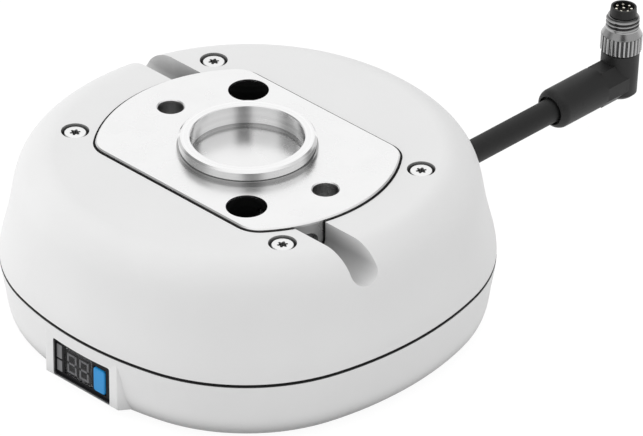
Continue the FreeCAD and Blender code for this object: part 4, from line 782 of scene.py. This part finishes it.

# %% [markdown]
# The collar is nickel with painted shade in its roots, so that its thread and knurl read at the size of a
# few pixels: shading alone would blur them. The contacts are gold-plated. The port is turned brass, and
# the filters are sintered bronze, whose grains need the deepest bump of all.

# %% Collar, contacts, port and filters
dress("collar_nickel", finish("collar nickel", (0.4, 0.4, 0.4), rings,
                              {"Centre": PLUG_AXIS, "Pitch": 0.0002}, rough=(0.16, 0.22), tone=0.05,
                              depth=0.000003, metal=1.0))
# Painted shade in the collar's thread roots and knurl grooves.
paint_root_shade(materials["collar_nickel"], 0.05)
collar_piece.data.materials.append(materials["collar_nickel"])
dress("contact_gold", finish("contact gold", (0.98, 0.92, 0.8), dents, {"Size": 0.0001}, rough=(0.2, 0.3),
                             depth=0.000002, metal=1.0))
dress("port_brass", finish("port brass", (0.68, 0.5, 0.22), rings, {"Pitch": 0.00015}, rough=(0.22, 0.32),
                           tone=0.05, depth=0.000005, metal=1.0))
port_piece.data.materials.append(materials["port_brass"])
dress("filter_bronze", finish("filter bronze", (0.4, 0.25, 0.11), dents, {"Size": 0.0005}, rough=(0.45, 0.6),
                              tone=0.25, depth=0.00008, metal=1.0))

# %% [markdown]
# The studio is plain. A pale floor lies under the unit. A floor lit up to white would also light the
# object too much, so the Light Path node shows camera rays and mirror rays a white glow instead, and a
# share of the floor's own shading stays in, so that it keeps the unit's shadow.

# %% Floor
FLOOR_HALF, FLOOR_GLOW, FLOOR_WHITE = 4.0, 0.85, 1.1
floor_level = cad_box[0][2]
floor_mesh = bpy.data.meshes.new("floor")
floor_mesh.from_pydata([(-FLOOR_HALF, -FLOOR_HALF, floor_level), (FLOOR_HALF, -FLOOR_HALF, floor_level),
                        (FLOOR_HALF, FLOOR_HALF, floor_level), (-FLOOR_HALF, FLOOR_HALF, floor_level)],
                       [], [(0, 1, 2, 3)])
floor = in_scene("floor", floor_mesh)

pale = bpy.data.materials.new("floor pale")
pale.use_nodes = True
tree = pale.node_tree
tree.nodes.clear()
matt = add(tree, "ShaderNodeBsdfDiffuse", {"Color": (0.8, 0.8, 0.8, 1.0)})
white = add(tree, "ShaderNodeEmission", {"Color": (1.0, 1.0, 1.0, 1.0), "Strength": FLOOR_WHITE})
ray = add(tree, "ShaderNodeLightPath").outputs
mirror = maths(tree, "MAXIMUM", ray["Is Glossy Ray"], ray["Is Transmission Ray"])
glow = maths(tree, "MULTIPLY", maths(tree, "MAXIMUM", ray["Is Camera Ray"], mirror), FLOOR_GLOW)
both = add(tree, "ShaderNodeMixShader", {0: glow, 1: matt.outputs[0], 2: white.outputs[0]})
add(tree, "ShaderNodeOutputMaterial", {"Surface": both.outputs[0]})
floor_mesh.materials.append(pale)
print("floor at", round(floor_level * 1000, 2), "mm")

# %% [markdown]
# The world is a dome with three faces. Camera rays see white. The rays that light the object see a soft
# fill, brighter above than near the horizon. Mirror rays see what gives polished metal its stripes:
# white overhead, and round about a studio of light panels with darker gaps. Real panels could stand
# there as planes, but they would throw light of their own, so the panels are a colour ramp over the
# bearing, from the photograph's direction to the right. Near the horizon the gaps fade out.

# %% World
FILL_LOW, FILL_HIGH, HORIZON = 0.66, 1.0, 0.68
FILL_RISE, PANEL_RISE, ROOF_RISE = (0.1, 0.7), (0.22, 0.4), (0.6, 0.85)
STUDIO = [(-145, 0.9), (-115, 0.26), (-80, 0.26), (-58, 0.68), (-14, 0.68), (0, 0.11), (16, 0.11),
          (32, 0.68), (105, 0.7), (122, 0.16), (150, 0.16), (163, 1.0)]
world = bpy.data.worlds.new("studio")
scene.world = world
world.use_nodes = True
tree = world.node_tree
tree.nodes.clear()
ray = add(tree, "ShaderNodeLightPath").outputs
way = add(tree, "ShaderNodeTexCoord").outputs["Generated"]
height = add(tree, "ShaderNodeSeparateXYZ", {0: way}).outputs[2]
front = add(tree, "ShaderNodeVectorMath", {0: way, 1: toward}, operation="DOT_PRODUCT").outputs["Value"]
aside = add(tree, "ShaderNodeVectorMath", {0: way, 1: view_right}, operation="DOT_PRODUCT").outputs["Value"]
bearing = maths(tree, "MULTIPLY_ADD", maths(tree, "ARCTAN2", aside, front), 0.5 / math.pi, 0.5)
around = add(tree, "ShaderNodeValToRGB", {0: bearing})
around.color_ramp.elements[0].color = (1.0, 1.0, 1.0, 1.0)
for degrees, tone in STUDIO:
    stop = around.color_ramp.elements.new((degrees + 180) / 360)
    stop.color = (tone, tone, tone, 1.0)
panels = blend(tree, stretch(tree, height, *PANEL_RISE, 0.0, 1.0), HORIZON, around.outputs[0])
studio = blend(tree, stretch(tree, height, *ROOF_RISE, 0.0, 1.0), panels, 1.0)
fill = stretch(tree, height, *FILL_RISE, FILL_LOW, FILL_HIGH)
mirror = maths(tree, "MAXIMUM", ray["Is Glossy Ray"], ray["Is Transmission Ray"])
level = blend(tree, ray["Is Camera Ray"], blend(tree, mirror, fill, studio), 1.0)
sky = add(tree, "ShaderNodeBackground", {"Color": (1.0, 1.0, 1.0, 1.0), "Strength": level})
add(tree, "ShaderNodeOutputWorld", {"Surface": sky.outputs[0]})
print("world fill", FILL_LOW, "low,", FILL_HIGH, "high")

# %% [markdown]
# One large soft lamp from the left gives the shells their slow fall of tone to the right. Its power
# follows from the level of white that it should add at its distance. It stays out of mirror rays,
# because a square of light in the ring would show that it is a lamp.

# %% Lamp
LAMP_SIZE, LAMP_DISTANCE, LAMP_LEVEL = 1.5, 2.2, 0.33
LAMP_RISE, LAMP_BEHIND = math.radians(15.0), 0.3
UNIT_MIDDLE = Vector((0.0, 0.0, -0.02))

lamp_way = (-view_right - LAMP_BEHIND * toward).normalized()
lamp_place = (lamp_way * math.cos(LAMP_RISE) + Vector((0.0, 0.0, math.sin(LAMP_RISE)))) * LAMP_DISTANCE
lamp_aim = UNIT_MIDDLE - lamp_place

light = bpy.data.lights.new("left", "AREA")
light.size = LAMP_SIZE
light.energy = LAMP_LEVEL * math.pi ** 2 * LAMP_DISTANCE ** 2
lamp = in_scene("left", light)
lamp.visible_glossy = False
lamp.location = lamp_place
lamp.rotation_euler = lamp_aim.to_track_quat("-Z", "Y").to_euler()
print("lamp:", round(light.energy, 1), "W")
